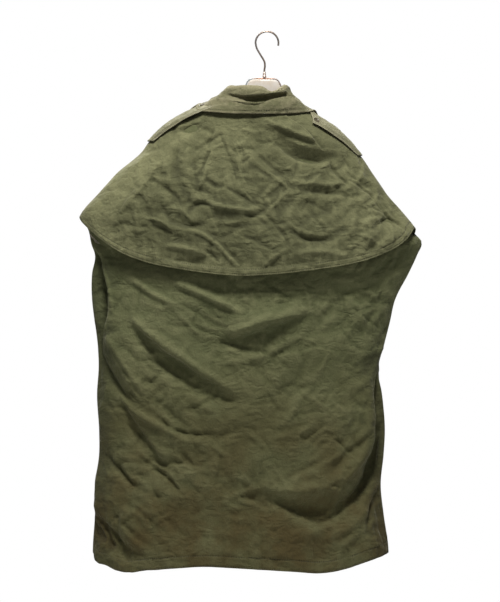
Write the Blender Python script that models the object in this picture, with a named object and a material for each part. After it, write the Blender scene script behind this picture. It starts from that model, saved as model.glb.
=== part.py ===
import math

import bmesh
import bpy
import numpy as np
from mathutils import Matrix, Vector

# A sleeveless coat with a shoulder cape, on a hanger. Metres, +Z up, the back of the coat facing -Y.
# The origin is the inner top of the hook, where it bears on a rail.

CLOTH = 0.002
SEAM_GAP = 0.0003
COAT_HEM = 0.029
CAPE_HEM = 0.017
HEM_THICKER = 0.0008
NECK_HEIGHT = -0.162
FRONT_NECK_DROP = 0.025
COAT_BELOW_CAPE = 0.0026

# Rings of the coat's outer face: height, left edge, right edge, depth behind, depth in front.
COAT_ROWS = (
    (-0.1645, -0.1015, 0.0435, 0.0587, 0.0567),
    (-0.172, -0.118, 0.059, 0.0595, 0.0575),
    (-0.180, -0.144, 0.079, 0.060, 0.058),
    (-0.193, -0.178, 0.100, 0.062, 0.060),
    (-0.207, -0.206, 0.119, 0.063, 0.061),
    (-0.221, -0.230, 0.140, 0.064, 0.062),
    (-0.236, -0.249, 0.161, 0.065, 0.063),
    (-0.269, -0.282, 0.194, 0.067, 0.065),
    (-0.298, -0.305, 0.216, 0.069, 0.067),
    (-0.341, -0.355, 0.249, 0.071, 0.069),
    (-0.399, -0.408, 0.289, 0.074, 0.072),
    (-0.449, -0.438, 0.333, 0.076, 0.074),
    (-0.480, -0.427, 0.352, 0.078, 0.076),
    (-0.506, -0.422, 0.371, 0.079, 0.077),
    (-0.533, -0.413, 0.361, 0.080, 0.078),
    (-0.580, -0.420, 0.339, 0.080, 0.078),
    (-0.640, -0.420, 0.308, 0.080, 0.078),
    (-0.695, -0.413, 0.295, 0.080, 0.078),
    (-0.753, -0.406, 0.280, 0.080, 0.078),
    (-0.800, -0.404, 0.266, 0.080, 0.078),
    (-0.868, -0.408, 0.276, 0.080, 0.078),
    (-0.955, -0.403, 0.283, 0.081, 0.079),
    (-1.012, -0.403, 0.280, 0.082, 0.080),
    (-1.085, -0.413, 0.273, 0.082, 0.080),
    (-1.156, -0.413, 0.280, 0.083, 0.081),
    (-1.235, -0.418, 0.291, 0.084, 0.082),
    (-1.300, -0.418, 0.291, 0.085, 0.083),
)
# Rings of the cape's outer face, in the same columns.
CAPE_ROWS = (
    (-0.162, -0.104, 0.046, 0.0605, 0.0585),
    (-0.166, -0.118, 0.059, 0.062, 0.060),
    (-0.174, -0.144, 0.079, 0.065, 0.063),
    (-0.187, -0.178, 0.100, 0.069, 0.067),
    (-0.201, -0.206, 0.119, 0.073, 0.071),
    (-0.215, -0.230, 0.140, 0.077, 0.075),
    (-0.230, -0.250, 0.163, 0.080, 0.078),
    (-0.247, -0.268, 0.181, 0.083, 0.081),
    (-0.263, -0.283, 0.197, 0.085, 0.083),
    (-0.292, -0.305, 0.221, 0.089, 0.087),
    (-0.306, -0.321, 0.232, 0.090, 0.088),
    (-0.335, -0.357, 0.251, 0.093, 0.090),
    (-0.364, -0.384, 0.271, 0.096, 0.093),
    (-0.393, -0.410, 0.291, 0.099, 0.095),
    (-0.422, -0.437, 0.317, 0.101, 0.097),
    (-0.443, -0.450, 0.335, 0.103, 0.098),
    (-0.474, -0.450, 0.359, 0.105, 0.100),
    (-0.620, -0.450, 0.359, 0.112, 0.106),
)
# The coat's hem: share of the half-width (-1 at the left edge, 1 at the right), height.
COAT_HEM_ROWS = (
    (-1.0, -1.247),
    (-0.983, -1.262),
    (-0.915, -1.276),
    (-0.82, -1.290),
    (-0.61, -1.286),
    (-0.21, -1.277),
    (0.0, -1.281),
    (0.41, -1.290),
    (0.51, -1.293),
    (0.715, -1.283),
    (0.82, -1.271),
    (0.92, -1.259),
    (1.0, -1.247),
)
FRONT_HEM_LOWER = 0.005
# The cape's hem: share of the half-width, share of the drop from the corner to the middle.
CAPE_HEM_ROWS = (
    (0.0, 1.0),
    (0.178, 0.966),
    (0.414, 0.87),
    (0.592, 0.77),
    (0.698, 0.67),
    (0.781, 0.555),
    (0.864, 0.40),
    (0.923, 0.25),
    (1.0, 0.0),
)
CAPE_CORNER_LEFT = -0.443
CAPE_CORNER_RIGHT = -0.470
CAPE_HEM_MIDDLE = -0.585
CAPE_FRONT_HALF_GAP = 0.025

# Armholes: slits along the side edges, from the shoulder point to the top of the side seam.
ARMHOLE_TOP = -0.270
ARMHOLE_FOOT_LEFT = -0.470
ARMHOLE_FOOT_RIGHT = -0.495
ARMHOLE_PULL = 0.026

# The fronts overlap at the middle, the left one on top. The middle line leans a little to the left
# on its way down: height, place across.
MIDDLE_ROWS = (
    (-0.160, -0.029),
    (-0.500, -0.034),
    (-1.300, -0.064),
)
FRONT_OVERLAP = 0.040
MOST_OFF_LINE = 0.3
UNDER_FRONT_INSET = 0.0032
INSET_STARTS = 0.08
INSET_FADES = 0.45
BUTTON_HEIGHTS = (-0.300, -0.440, -0.580, -0.720, -0.860)
FRONT_BUTTON_RADIUS = 0.011
STRAP_BUTTON_RADIUS = 0.0075
BUTTON_THICKNESS = 0.003

# Folds fade out near the side edges, where the sine of the ring's angle falls below these.
COAT_FOLD_REACH = 0.35
CAPE_FOLD_REACH = 0.5
COAT_FOLD_TOP = -0.56
COAT_FOLD_FADE = 0.06
CAPE_FOLD_TOP = -0.205
CAPE_FOLD_FADE = 0.03
FOLD_END_SHARE = 0.4
# Twice the coat's middle line: the fronts carry like folds, turned about it and shifted down.
MIRROR_LINE = -0.09
FRONT_FOLD_SHIFT = 0.05
CAPE_FRONT_FOLD_SHIFT = 0.02
BUTTON_FLAT_HALF = 0.025
BUTTON_FLAT_FADE = 0.04

# Largest folds behind: start x, start z, end x, end z, bow sideways, half-width, height.
COAT_FOLDS = (
    (0.238, -0.976, 0.127, -1.134, -0.012, 0.020, -0.0060),
    (0.271, -1.053, 0.077, -1.185, 0.020, 0.026, 0.0050),
    (-0.329, -0.686, -0.084, -0.880, -0.020, 0.024, -0.0055),
    (-0.350, -0.875, -0.240, -1.041, -0.008, 0.022, -0.0045),
    (-0.089, -0.719, 0.089, -0.681, 0.004, 0.024, 0.0045),
    (-0.300, -0.620, -0.120, -0.660, 0.010, 0.026, 0.0040),
    (-0.020, -1.080, 0.080, -1.130, 0.000, 0.024, -0.0035),
)
CAPE_FOLDS = (
    (0.002, -0.220, 0.168, -0.285, 0.008, 0.015, 0.0065),
    (0.017, -0.242, 0.161, -0.296, -0.024, 0.018, -0.0060),
    (-0.205, -0.236, -0.170, -0.240, 0.000, 0.022, -0.0060),
    (-0.293, -0.448, -0.091, -0.542, 0.010, 0.014, 0.0050),
    (-0.276, -0.354, -0.218, -0.405, 0.000, 0.014, -0.0040),
    (0.005, -0.558, 0.086, -0.482, 0.000, 0.018, 0.0040),
    (0.062, -0.462, 0.132, -0.503, 0.000, 0.022, -0.0050),
    (0.262, -0.472, 0.334, -0.465, 0.012, 0.014, -0.0045),
)
# Side pleats behind: tip angle, top, foot, angle in from the tip, half-angle, depth.
SIDE_PLEATS = (
    (math.pi, -0.530, -0.770, 0.34, 0.10, 0.008),
    (0.0, -0.790, -1.090, 0.30, 0.09, 0.008),
    (0.0, -1.080, -1.240, 0.27, 0.09, 0.006),
)

# Collar: angle in degrees (right tip 0, back 90, left tip 180), top of the stand, lean outward,
# cape height under the fall's edge, how far the edge stands off the cape, height of the lower roll,
# share of the hollow between the two rolls, how far the fall sags towards the shoulder.
COLLAR_ROWS = (
    (-84, -0.158, 0.000, -0.238, 0.0070, -0.170, 0.0, -0.003),
    (-62, -0.150, 0.000, -0.248, 0.0070, -0.165, 0.0, -0.003),
    (-35, -0.138, 0.000, -0.222, 0.0075, -0.150, 0.0, 0.004),
    (0, -0.131, 0.000, -0.195, 0.0080, -0.136, 0.0, 0.006),
    (28, -0.131, 0.000, -0.196, 0.0090, -0.136, 0.0, 0.004),
    (38, -0.136, 0.000, -0.198, 0.0080, -0.146, 0.6, 0.003),
    (48, -0.142, 0.000, -0.200, 0.0085, -0.160, 1.0, 0.002),
    (62, -0.1445, 0.000, -0.202, 0.0090, -0.168, 1.0, -0.003),
    (77, -0.134, 0.000, -0.203, 0.0100, -0.172, 1.0, -0.003),
    (100, -0.130, 0.000, -0.202, 0.0100, -0.169, 1.0, -0.003),
    (137, -0.129, -0.003, -0.195, 0.0090, -0.161, 0.8, 0.0),
    (158, -0.130, -0.008, -0.187, 0.0085, -0.156, 0.3, 0.003),
    (180, -0.133, -0.012, -0.180, 0.0085, -0.152, 0.0, 0.0065),
    (215, -0.138, -0.006, -0.210, 0.0085, -0.156, 0.0, 0.003),
    (242, -0.150, 0.000, -0.248, 0.0070, -0.165, 0.0, -0.003),
    (264, -0.158, 0.000, -0.238, 0.0070, -0.170, 0.0, -0.003),
)
COLLAR_WALL = 0.0022
COLLAR_ABOVE_NECK = 0.0005
COLLAR_INSIDE_SEAM = 0.0022
ROLL_RADIUS = 0.0042
FALL_SHARES = (0.18, 0.34, 0.5, 0.66, 0.83, 1.0)
HOLLOW_ABOVE_CAPE = 0.0045
HOLLOW_DEPTH = 0.008
LOWER_ROLL_OUT = 0.012

# Straps: cape height at the inner and outer end, shift of the middle line towards the back.
STRAP_LEFT = (-0.1735, -0.264, 0.008)
STRAP_RIGHT = (-0.1875, -0.298, 0.010)
STRAP_HALF_WIDTH = 0.028
STRAP_WALL = 0.002
STRAP_STAND_OFF = 0.0009
STRAP_REAR_LIFT = 0.0030
# How much further round the cape's flat ring the same distance is, near the tips.
TIP_STRETCH = 1.15
BUTTON_ABOVE_STRAP = 0.0005
BUTTON_ABOVE_FRONT = 0.0006
BUTTON_TAPER = 0.86

# Hanger: plate outline above the neck as x, top height; then arms under the coat's shoulders.
PLATE_TOP = (
    (-0.088, -0.172),
    (-0.066, -0.150),
    (-0.050, -0.131),
    (-0.044, -0.119),
    (-0.034, -0.1135),
    (-0.008, -0.1130),
    (0.014, -0.1138),
    (0.024, -0.1175),
    (0.032, -0.131),
    (0.037, -0.156),
    (0.041, -0.171),
)
HANGER_LEFT = -0.218
HANGER_RIGHT = 0.176
HANGER_MIDDLE = -0.010
HANGER_HALF_SPAN = 0.21
HANGER_HALF_THICKNESS = 0.006
HANGER_EDGE = 0.003
HANGER_LEAST_DEPTH = 0.020
HANGER_FOOT = -0.186
HANGER_FOOT_CURVE = 0.055
HANGER_MIDDLE_DEEPER = 0.016
HANGER_CLEARANCE = 0.0016
RIM_RADIUS = 0.0017
RIM_GAP = 0.0008
WIRE_RADIUS = 0.002
HOOK_RADIUS = 0.0275
HOOK_CENTRE = -0.0255
# The hook's bend below the arc, as x and height: from the arc's end down to the shank.
HOOK_BEND = (
    (-0.0245, -0.0385),
    (-0.0152, -0.0548),
    (-0.0068, -0.0690),
    (-0.0050, -0.0800),
    (-0.0062, -0.0900),
)
HOOK_TIP_TURN = -14
FERRULE_X = -0.0062
FERRULE_RADIUS = 0.0043
FERRULE_FOOT = -0.1084
FERRULE_TOP = -0.0955
HOOK_ABOVE_FERRULE = 0.0004

OLIVE_CAPE = (0.130, 0.125, 0.077)
OLIVE_COAT = (0.075, 0.080, 0.044)
OLIVE_STRAP = (0.155, 0.148, 0.095)
WHITE_PLATE = (0.72, 0.70, 0.66)
COPPER_WIRE = (0.30, 0.19, 0.13)
BUTTON_BROWN = (0.085, 0.080, 0.055)


def clear_scene():
    for obj in list(bpy.data.objects):
        bpy.data.objects.remove(obj)


def make_material(name, colour, roughness, metallic=0.0):
    material = bpy.data.materials.new(name)
    material.use_nodes = True
    shader = material.node_tree.nodes["Principled BSDF"]
    shader.inputs["Base Color"].default_value = (*colour, 1.0)
    shader.inputs["Roughness"].default_value = roughness
    shader.inputs["Metallic"].default_value = metallic
    return material


def along(rows, where, column):
    # A smooth curve through one column of a table, read at where in its first column.
    table = np.array(rows)
    table = table[np.argsort(table[:, 0])]
    keys = table[:, 0]
    values = table[:, column]
    slopes = np.gradient(values, keys)
    where = np.asarray(where, float)
    low = np.clip(np.searchsorted(keys, where) - 1, 0, len(keys) - 2)
    step = keys[low + 1] - keys[low]
    t = np.clip((where - keys[low]) / step, 0.0, 1.0)
    start = values[low] * (2 * t**3 - 3 * t**2 + 1) + slopes[low] * step * (t**3 - 2 * t**2 + t)
    end = values[low + 1] * (3 * t**2 - 2 * t**3) + slopes[low + 1] * step * (t**3 - t**2)
    return start + end


def ease(t):
    t = np.clip(t, 0.0, 1.0)
    return t * t * (3 - 2 * t)


def ring(rows, angle, z):
    # A point of the flattened ring at a height: angle 0 is the right tip, pi/2 the middle of the back.
    left = along(rows, z, 1)
    right = along(rows, z, 2)
    depth = np.where(np.sin(angle) >= 0, along(rows, z, 3), along(rows, z, 4))
    x = (left + right) / 2 + (right - left) / 2 * np.cos(angle)
    return np.stack([x, -depth * np.sin(angle), z + 0 * x], axis=-1)


def unit(vectors):
    return vectors / np.linalg.norm(vectors, axis=-1, keepdims=True)


def ring_normal(rows, angle, z):
    turn = 1e-3
    drop = 1e-4
    across = ring(rows, angle + turn, z) - ring(rows, angle - turn, z)
    down = ring(rows, angle, z - drop) - ring(rows, angle, z + drop)
    return unit(np.cross(across, down))


def relief(folds, x, z):
    total = 0 * x
    for start_x, start_z, end_x, end_z, bow, width, height in folds:
        run_x = end_x - start_x
        run_z = end_z - start_z
        length = math.hypot(run_x, run_z)
        t = ((x - start_x) * run_x + (z - start_z) * run_z) / length**2
        inside = np.clip(t, 0.0, 1.0)
        aside = ((z - start_z) * run_x - (x - start_x) * run_z) / length
        aside = aside - bow * 4 * inside * (1 - inside)
        beyond = (t - inside) * length
        taper = FOLD_END_SHARE + (1 - FOLD_END_SHARE) * np.sin(math.pi * inside)
        total = total + height * taper * np.exp(-(aside**2 + beyond**2) / width**2)
    return total


def coat_face(angle, z):
    base = ring(COAT_ROWS, angle, z)
    normal = ring_normal(COAT_ROWS, angle, z)
    away_from_tips = ease(np.abs(np.sin(angle)) / COAT_FOLD_REACH)
    behind = np.sin(angle) >= 0
    x = base[..., 0]
    folds = np.where(
        behind,
        relief(COAT_FOLDS, x, z),
        relief(COAT_FOLDS, MIRROR_LINE - x, z + FRONT_FOLD_SHIFT),
    )
    below_cape = ease((COAT_FOLD_TOP - z) / COAT_FOLD_FADE)
    from_line = np.abs(x - along(MIDDLE_ROWS, z, 1))
    off_buttons = ease((from_line - BUTTON_FLAT_HALF) / BUTTON_FLAT_FADE)
    lift = folds * away_from_tips * below_cape * np.where(behind, 1.0, off_buttons)
    for tip, top, foot, inward, half_angle, depth in SIDE_PLEATS:
        from_tip = np.abs(angle - tip) - inward
        height_share = np.sin(math.pi * np.clip((z - foot) / (top - foot), 0.0, 1.0))
        lift = lift - behind * depth * height_share * np.exp(-((from_tip / half_angle) ** 2))
    return base + normal * lift[..., None]


def cape_face(angle, z):
    base = ring(CAPE_ROWS, angle, z)
    normal = ring_normal(CAPE_ROWS, angle, z)
    away_from_tips = ease(np.abs(np.sin(angle)) / CAPE_FOLD_REACH)
    behind = np.sin(angle) >= 0
    x = base[..., 0]
    folds = np.where(
        behind,
        relief(CAPE_FOLDS, x, z),
        relief(CAPE_FOLDS, MIRROR_LINE - x, z + CAPE_FRONT_FOLD_SHIFT),
    )
    below_neck = ease((CAPE_FOLD_TOP - z) / CAPE_FOLD_FADE)
    return base + normal * (folds * away_from_tips * below_neck)[..., None]


def face_normal(face, across, down):
    step = 1e-3
    run = face(across + step, down) - face(across - step, down)
    fall = face(across, down + step) - face(across, down - step)
    return unit(np.cross(run, fall))


def new_object(name, mesh_or_curve, material):
    obj = bpy.data.objects.new(name, mesh_or_curve)
    bpy.context.collection.objects.link(obj)
    mesh_or_curve.materials.append(material)
    return obj


def make_sheet(name, outer, inner, material):
    # A closed wall between two matching grids of points.
    rows, columns = outer.shape[:2]
    work = bmesh.new()
    front = [[work.verts.new(Vector(point)) for point in row] for row in outer]
    back = [[work.verts.new(Vector(point)) for point in row] for row in inner]
    for r in range(rows - 1):
        for c in range(columns - 1):
            work.faces.new((front[r][c], front[r + 1][c], front[r + 1][c + 1], front[r][c + 1]))
            work.faces.new((back[r][c], back[r][c + 1], back[r + 1][c + 1], back[r + 1][c]))
    border = [(0, c) for c in range(columns - 1)]
    border += [(r, columns - 1) for r in range(rows - 1)]
    border += [(rows - 1, c) for c in range(columns - 1, 0, -1)]
    border += [(r, 0) for r in range(rows - 1, 0, -1)]
    for (r0, c0), (r1, c1) in zip(border, border[1:] + border[:1]):
        work.faces.new((front[r0][c0], front[r1][c1], back[r1][c1], back[r0][c0]))
    bmesh.ops.recalc_face_normals(work, faces=work.faces)
    mesh = bpy.data.meshes.new(name)
    work.to_mesh(mesh)
    work.free()
    mesh.shade_smooth()
    mesh.set_sharp_from_angle(angle=math.radians(50))
    return new_object(name, mesh, material)


def make_panel(name, face, across, down, wall, material):
    # A cloth wall whose outer face is a form of two parameters; past down = 1 lies the turned hem.
    columns, rows = np.meshgrid(across, down)
    outer = face(columns, rows)
    normal = face_normal(face, columns, rows)
    inner = outer - normal * wall
    hem = ease((rows - 1.0) / 0.1)[..., None]
    return make_sheet(name, outer + normal * HEM_THICKER * hem, inner, material)


def spread(count):
    return np.linspace(0.0, 1.0, count)


def down_to_hem(count, crowding):
    # Rows lie closer together over the shoulders, and two more hold the turned hem.
    return np.concatenate([spread(count) ** crowding, [1.12, 2.0]])


def height_down(top, foot, hem, down):
    above = top + (foot + hem - top) * np.minimum(down, 1.0)
    return above - hem * np.maximum(down - 1.0, 0.0)


def armhole_pull(z, foot):
    share = np.clip((ARMHOLE_TOP - z) / (ARMHOLE_TOP - foot), 0.0, 1.0)
    return ARMHOLE_PULL * (1 - (2 * share - 1) ** 4)


def tip_margin(z, foot, column):
    return (SEAM_GAP / 2 + armhole_pull(z, foot)) / along(COAT_ROWS, z, column)


def coat_hem_at(angle):
    height = along(COAT_HEM_ROWS, np.cos(angle), 1)
    return height - FRONT_HEM_LOWER * ease(-np.sin(angle) / 0.5)


def neckline(angle):
    return NECK_HEIGHT - FRONT_NECK_DROP * np.sin(angle) ** 4 * (np.sin(angle) < 0)


def back_panel(across, down):
    plain = math.pi * across
    z = height_down(neckline(plain) - COAT_BELOW_CAPE, coat_hem_at(plain), COAT_HEM, down)
    start = tip_margin(z, ARMHOLE_FOOT_RIGHT, 3)
    end = math.pi - tip_margin(z, ARMHOLE_FOOT_LEFT, 3)
    return coat_face(start + (end - start) * across, z)


def front_angle(rows, z, offset):
    # The angle round the front at a distance to the right of the middle line.
    left = along(rows, z, 1)
    right = along(rows, z, 2)
    half = (right - left) / 2
    off_line = np.clip(offset, -MOST_OFF_LINE * half, MOST_OFF_LINE * half)
    share = (along(MIDDLE_ROWS, z, 1) + off_line - (left + right) / 2) / half
    return 1.5 * math.pi + np.arcsin(share)


def front_left_panel(across, down):
    plain = math.pi + math.pi / 2 * across
    z = height_down(neckline(plain) - COAT_BELOW_CAPE, coat_hem_at(plain), COAT_HEM, down)
    start = math.pi + tip_margin(z, ARMHOLE_FOOT_LEFT, 4)
    end = front_angle(COAT_ROWS, z, FRONT_OVERLAP)
    return coat_face(start + (end - start) * across, z)


def front_right_panel(across, down):
    plain = 1.5 * math.pi + math.pi / 2 * across
    z = height_down(neckline(plain) - COAT_BELOW_CAPE, coat_hem_at(plain), COAT_HEM, down)
    start = front_angle(COAT_ROWS, z, -FRONT_OVERLAP)
    end = 2 * math.pi - tip_margin(z, ARMHOLE_FOOT_RIGHT, 4)
    angle = start + (end - start) * across
    covered_to = front_angle(COAT_ROWS, z, FRONT_OVERLAP)
    lap = covered_to - start
    under = 1 - ease((angle - covered_to - INSET_STARTS * lap) / (INSET_FADES * lap))
    normal = ring_normal(COAT_ROWS, angle, z)
    return coat_face(angle, z) - normal * (UNDER_FRONT_INSET * under)[..., None]


def cape_hem_at(angle):
    share = (1 + np.cos(angle)) / 2
    corner = CAPE_CORNER_LEFT + (CAPE_CORNER_RIGHT - CAPE_CORNER_LEFT) * share
    drop = along(CAPE_HEM_ROWS, np.abs(np.cos(angle)), 1)
    return corner + (CAPE_HEM_MIDDLE - corner) * drop


def cape_panel(across, down):
    plain = -math.pi / 2 + 2 * math.pi * across
    z = height_down(neckline(plain), cape_hem_at(plain), CAPE_HEM, down)
    start = front_angle(CAPE_ROWS, z, CAPE_FRONT_HALF_GAP) - 2 * math.pi
    end = front_angle(CAPE_ROWS, z, -CAPE_FRONT_HALF_GAP)
    return cape_face(start + (end - start) * across, z)


def through(points, count):
    # A smooth curve through control points, given as an array of points by rows.
    keys = np.arange(len(points), dtype=float)
    where = np.linspace(0.0, keys[-1], count)
    rows = np.column_stack([keys, points])
    return np.stack([along(rows, where, c) for c in range(1, rows.shape[1])], axis=-1)


def collar_profile(degrees, count):
    # From the neck seam up the stand, over the roll and down the fall, as outward distance and height.
    angle = math.radians(degrees)
    top, lean, under, stand_off, lower_roll, hollow, sag = (
        float(along(COLLAR_ROWS, degrees, c)) for c in range(1, 8)
    )
    foot = float(neckline(np.array(angle))) + COLLAR_ABOVE_NECK
    seam = ring(CAPE_ROWS, np.array(angle), np.array(foot))
    outward = ring_normal(CAPE_ROWS, np.array(angle), np.array(NECK_HEIGHT - 0.001))
    outward = unit(np.array([outward[0], outward[1], 0.0]))
    seam = seam - outward * COLLAR_INSIDE_SEAM
    beneath = np.array(under)
    edge = ring(CAPE_ROWS, np.array(angle), beneath)
    edge = edge + ring_normal(CAPE_ROWS, np.array(angle), beneath) * stand_off
    edge_out = float(np.dot(edge - seam, outward))
    edge_up = edge[2]
    over = (lean + 2 * ROLL_RADIUS, top - ROLL_RADIUS)
    plain = [
        (0.0, foot),
        (0.4 * lean, foot + 0.45 * (top - foot)),
        (0.9 * lean - 0.0004, top - 1.9 * ROLL_RADIUS),
        (lean + 0.0008, top - 0.5 * ROLL_RADIUS),
        (lean + ROLL_RADIUS, top),
        over,
    ]
    fall = []
    for share in FALL_SHARES:
        bowed = sag * math.sin(math.pi * share**0.65)
        out = over[0] + (edge_out - over[0]) * share - 0.5 * bowed
        fall.append((out, over[1] + (edge_up - over[1]) * share - bowed))
    roll_out = lean + 2 * ROLL_RADIUS + LOWER_ROLL_OUT
    heights = np.linspace(-0.2, NECK_HEIGHT, 40)
    cape_out = (ring(CAPE_ROWS, angle + 0 * heights, heights) - seam) @ outward
    cape_here = float(np.interp(over[0], cape_out[::-1], heights[::-1]))
    sunk_foot = max(lower_roll - HOLLOW_DEPTH, cape_here + HOLLOW_ABOVE_CAPE)
    lower_roll = max(lower_roll, sunk_foot + 0.002)
    sunk = [
        (over[0] + 0.0015, lower_roll + 0.004),
        (over[0] + 0.0025, sunk_foot),
        (roll_out - 0.0045, sunk_foot),
        (roll_out, lower_roll),
        ((roll_out + edge_out) / 2 + 0.004, (lower_roll + edge_up) / 2 + 0.004),
        (edge_out, edge_up),
    ]
    mixed = [
        (a[0] + (b[0] - a[0]) * hollow, a[1] + (b[1] - a[1]) * hollow) for a, b in zip(fall, sunk)
    ]
    curve = through(np.array(plain + mixed), count)
    points = seam[None, :] * np.array([1.0, 1.0, 0.0]) + outward[None, :] * curve[:, :1]
    points[:, 2] = curve[:, 1]
    shift = (edge - seam) - outward * edge_out
    shift[2] = 0.0
    share = np.linspace(0.0, 1.0, count)[:, None] ** 2
    return points + shift[None, :] * share


def grid_normals(points):
    run = np.gradient(points, axis=1)
    fall = np.gradient(points, axis=0)
    return unit(np.cross(run, fall))


def make_collar(material):
    right = np.linspace(-83, 20, 9)[:-1]
    behind = np.linspace(20, 180, 18)[:-1]
    left = np.linspace(180, 263, 8)
    degrees = np.concatenate([right, behind, left])
    points = np.stack([collar_profile(d, 17) for d in degrees], axis=1)
    half = grid_normals(points) * COLLAR_WALL / 2
    return make_sheet("collar", points + half, points - half, material)


def strap_face(strap, tip, along_share, across_share):
    inner_end, outer_end, shift = strap
    z = inner_end + (outer_end - inner_end) * along_share
    side = 1.0 if tip == 0.0 else -1.0
    distance = shift + STRAP_HALF_WIDTH * across_share
    angle = tip + side * distance / (TIP_STRETCH * along(CAPE_ROWS, z, 3))
    normal = ring_normal(CAPE_ROWS, angle, z)
    ends = np.sin(math.pi * np.clip(0.08 + along_share, 0.0, 1.0))
    lift = STRAP_STAND_OFF + STRAP_REAR_LIFT * ease(across_share) * ends
    return cape_face(angle, z) + normal * lift[..., None], normal


def make_strap(name, strap, tip, material):
    shares, across = np.meshgrid(spread(12), np.linspace(-1.0, 1.0, 8), indexing="ij")
    under, normal = strap_face(strap, tip, shares, across)
    return make_sheet(name, under + normal * STRAP_WALL, under, material)


def make_button(name, radius, place, normal, material):
    work = bmesh.new()
    bmesh.ops.create_cone(
        work,
        cap_ends=True,
        segments=16,
        radius1=radius,
        radius2=radius * BUTTON_TAPER,
        depth=BUTTON_THICKNESS,
    )
    mesh = bpy.data.meshes.new(name)
    work.to_mesh(mesh)
    work.free()
    button = new_object(name, mesh, material)
    button.location = Vector(place) + Vector(normal) * (BUTTON_THICKNESS / 2)
    button.rotation_euler = Vector(normal).to_track_quat("Z", "Y").to_euler()
    return button


def make_front_buttons(material):
    for number, height in enumerate(BUTTON_HEIGHTS, start=1):
        z = np.array(height)
        angle = front_angle(COAT_ROWS, z, 0.0)
        normal = ring_normal(COAT_ROWS, angle, z)
        place = coat_face(angle, z) + normal * BUTTON_ABOVE_FRONT
        make_button(f"front_button_{number}", FRONT_BUTTON_RADIUS, place, normal, material)


def make_strap_buttons(material):
    for name, strap, tip, share, across in (
        ("epaulette_button_left", STRAP_LEFT, math.pi, 0.10, 0.0),
        ("epaulette_button_right", STRAP_RIGHT, 0.0, 0.14, 0.35),
    ):
        under, normal = strap_face(strap, tip, np.array(share), np.array(across))
        place = under + normal * (STRAP_WALL + BUTTON_ABOVE_STRAP)
        make_button(name, STRAP_BUTTON_RADIUS, place, normal, material)


def ridge_height(x):
    # The height of the coat's shoulder line at a place across.
    heights = np.linspace(COAT_ROWS[0][0], -0.300, 120)
    column = 1 if x < -0.03 else 2
    reach = along(COAT_ROWS, heights, column)
    order = np.argsort(reach)
    return float(np.interp(x, reach[order], heights[order]))


def hanger_top(x):
    if PLATE_TOP[0][0] < x < PLATE_TOP[-1][0]:
        return float(along(PLATE_TOP, x, 1))
    slope = (ridge_height(x + 0.002) - ridge_height(x - 0.002)) / 0.004
    return ridge_height(x) - (CLOTH + HANGER_CLEARANCE) * math.hypot(1.0, slope)


def make_hanger_body(material):
    arms_left = np.linspace(HANGER_LEFT, -0.104, 6)
    arms_right = np.linspace(0.052, HANGER_RIGHT, 6)
    plate = [x for x, top in PLATE_TOP[1:-1]]
    stations = np.concatenate([arms_left, [-0.090], plate, [0.042], arms_right])
    work = bmesh.new()
    sections = []
    for x in stations:
        top = hanger_top(x)
        from_middle = abs(x - HANGER_MIDDLE) / HANGER_HALF_SPAN
        curved = HANGER_FOOT_CURVE * from_middle**1.5 + HANGER_MIDDLE_DEEPER * (1 - from_middle)
        foot = min(top - HANGER_LEAST_DEPTH, HANGER_FOOT - curved)
        half = HANGER_HALF_THICKNESS
        edge = HANGER_EDGE
        outline = [
            (-half + edge, top),
            (half - edge, top),
            (half, top - edge),
            (half, foot + edge),
            (half - edge, foot),
            (-half + edge, foot),
            (-half, foot + edge),
            (-half, top - edge),
        ]
        sections.append([work.verts.new((x, y, z)) for y, z in outline])
    for near, far in zip(sections, sections[1:]):
        for k in range(8):
            work.faces.new((near[k], near[(k + 1) % 8], far[(k + 1) % 8], far[k]))
    work.faces.new(sections[0])
    work.faces.new(sections[-1])
    bmesh.ops.recalc_face_normals(work, faces=work.faces)
    mesh = bpy.data.meshes.new("hanger_body")
    work.to_mesh(mesh)
    work.free()
    return new_object("hanger_body", mesh, material)


def make_wire(name, points, radius, resolution, material):
    curve = bpy.data.curves.new(name, "CURVE")
    curve.dimensions = "3D"
    curve.bevel_depth = radius
    curve.bevel_resolution = resolution
    curve.use_fill_caps = True
    spline = curve.splines.new("POLY")
    spline.points.add(len(points) - 1)
    for point, place in zip(spline.points, points):
        point.co = (*place, 1.0)
    return new_object(name, curve, material)


def hook_route():
    # An arc from the tip over the top, then an easy bend down to the shank.
    route = []
    for turn in np.linspace(math.radians(HOOK_TIP_TURN), math.pi, 20):
        route.append((HOOK_RADIUS * math.cos(turn), HOOK_CENTRE + HOOK_RADIUS * math.sin(turn)))
    bend = [route[-1], *HOOK_BEND, (FERRULE_X, FERRULE_TOP + HOOK_ABOVE_FERRULE)]
    for x, z in through(np.array(bend), 18)[1:]:
        route.append((x, z))
    return [(x, 0.0, z) for x, z in route]


def make_rim(material):
    # The wire runs along the plate's upper edge, square off it.
    line = through(np.array(PLATE_TOP[1:-2]), 22)
    run = unit(np.gradient(line, axis=0))
    off = RIM_RADIUS + RIM_GAP
    points = [(x - off * dz, 0.0, z + off * dx) for (x, z), (dx, dz) in zip(line, run)]
    make_wire("hanger_rim", points, RIM_RADIUS, 2, material)


def make_ferrule(material):
    work = bmesh.new()
    bmesh.ops.create_cone(
        work,
        cap_ends=True,
        segments=16,
        radius1=FERRULE_RADIUS,
        radius2=0.7 * FERRULE_RADIUS,
        depth=FERRULE_TOP - FERRULE_FOOT,
        matrix=Matrix.Translation((FERRULE_X, 0.0, (FERRULE_TOP + FERRULE_FOOT) / 2)),
    )
    mesh = bpy.data.meshes.new("hanger_ferrule")
    work.to_mesh(mesh)
    work.free()
    return new_object("hanger_ferrule", mesh, material)


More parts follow.
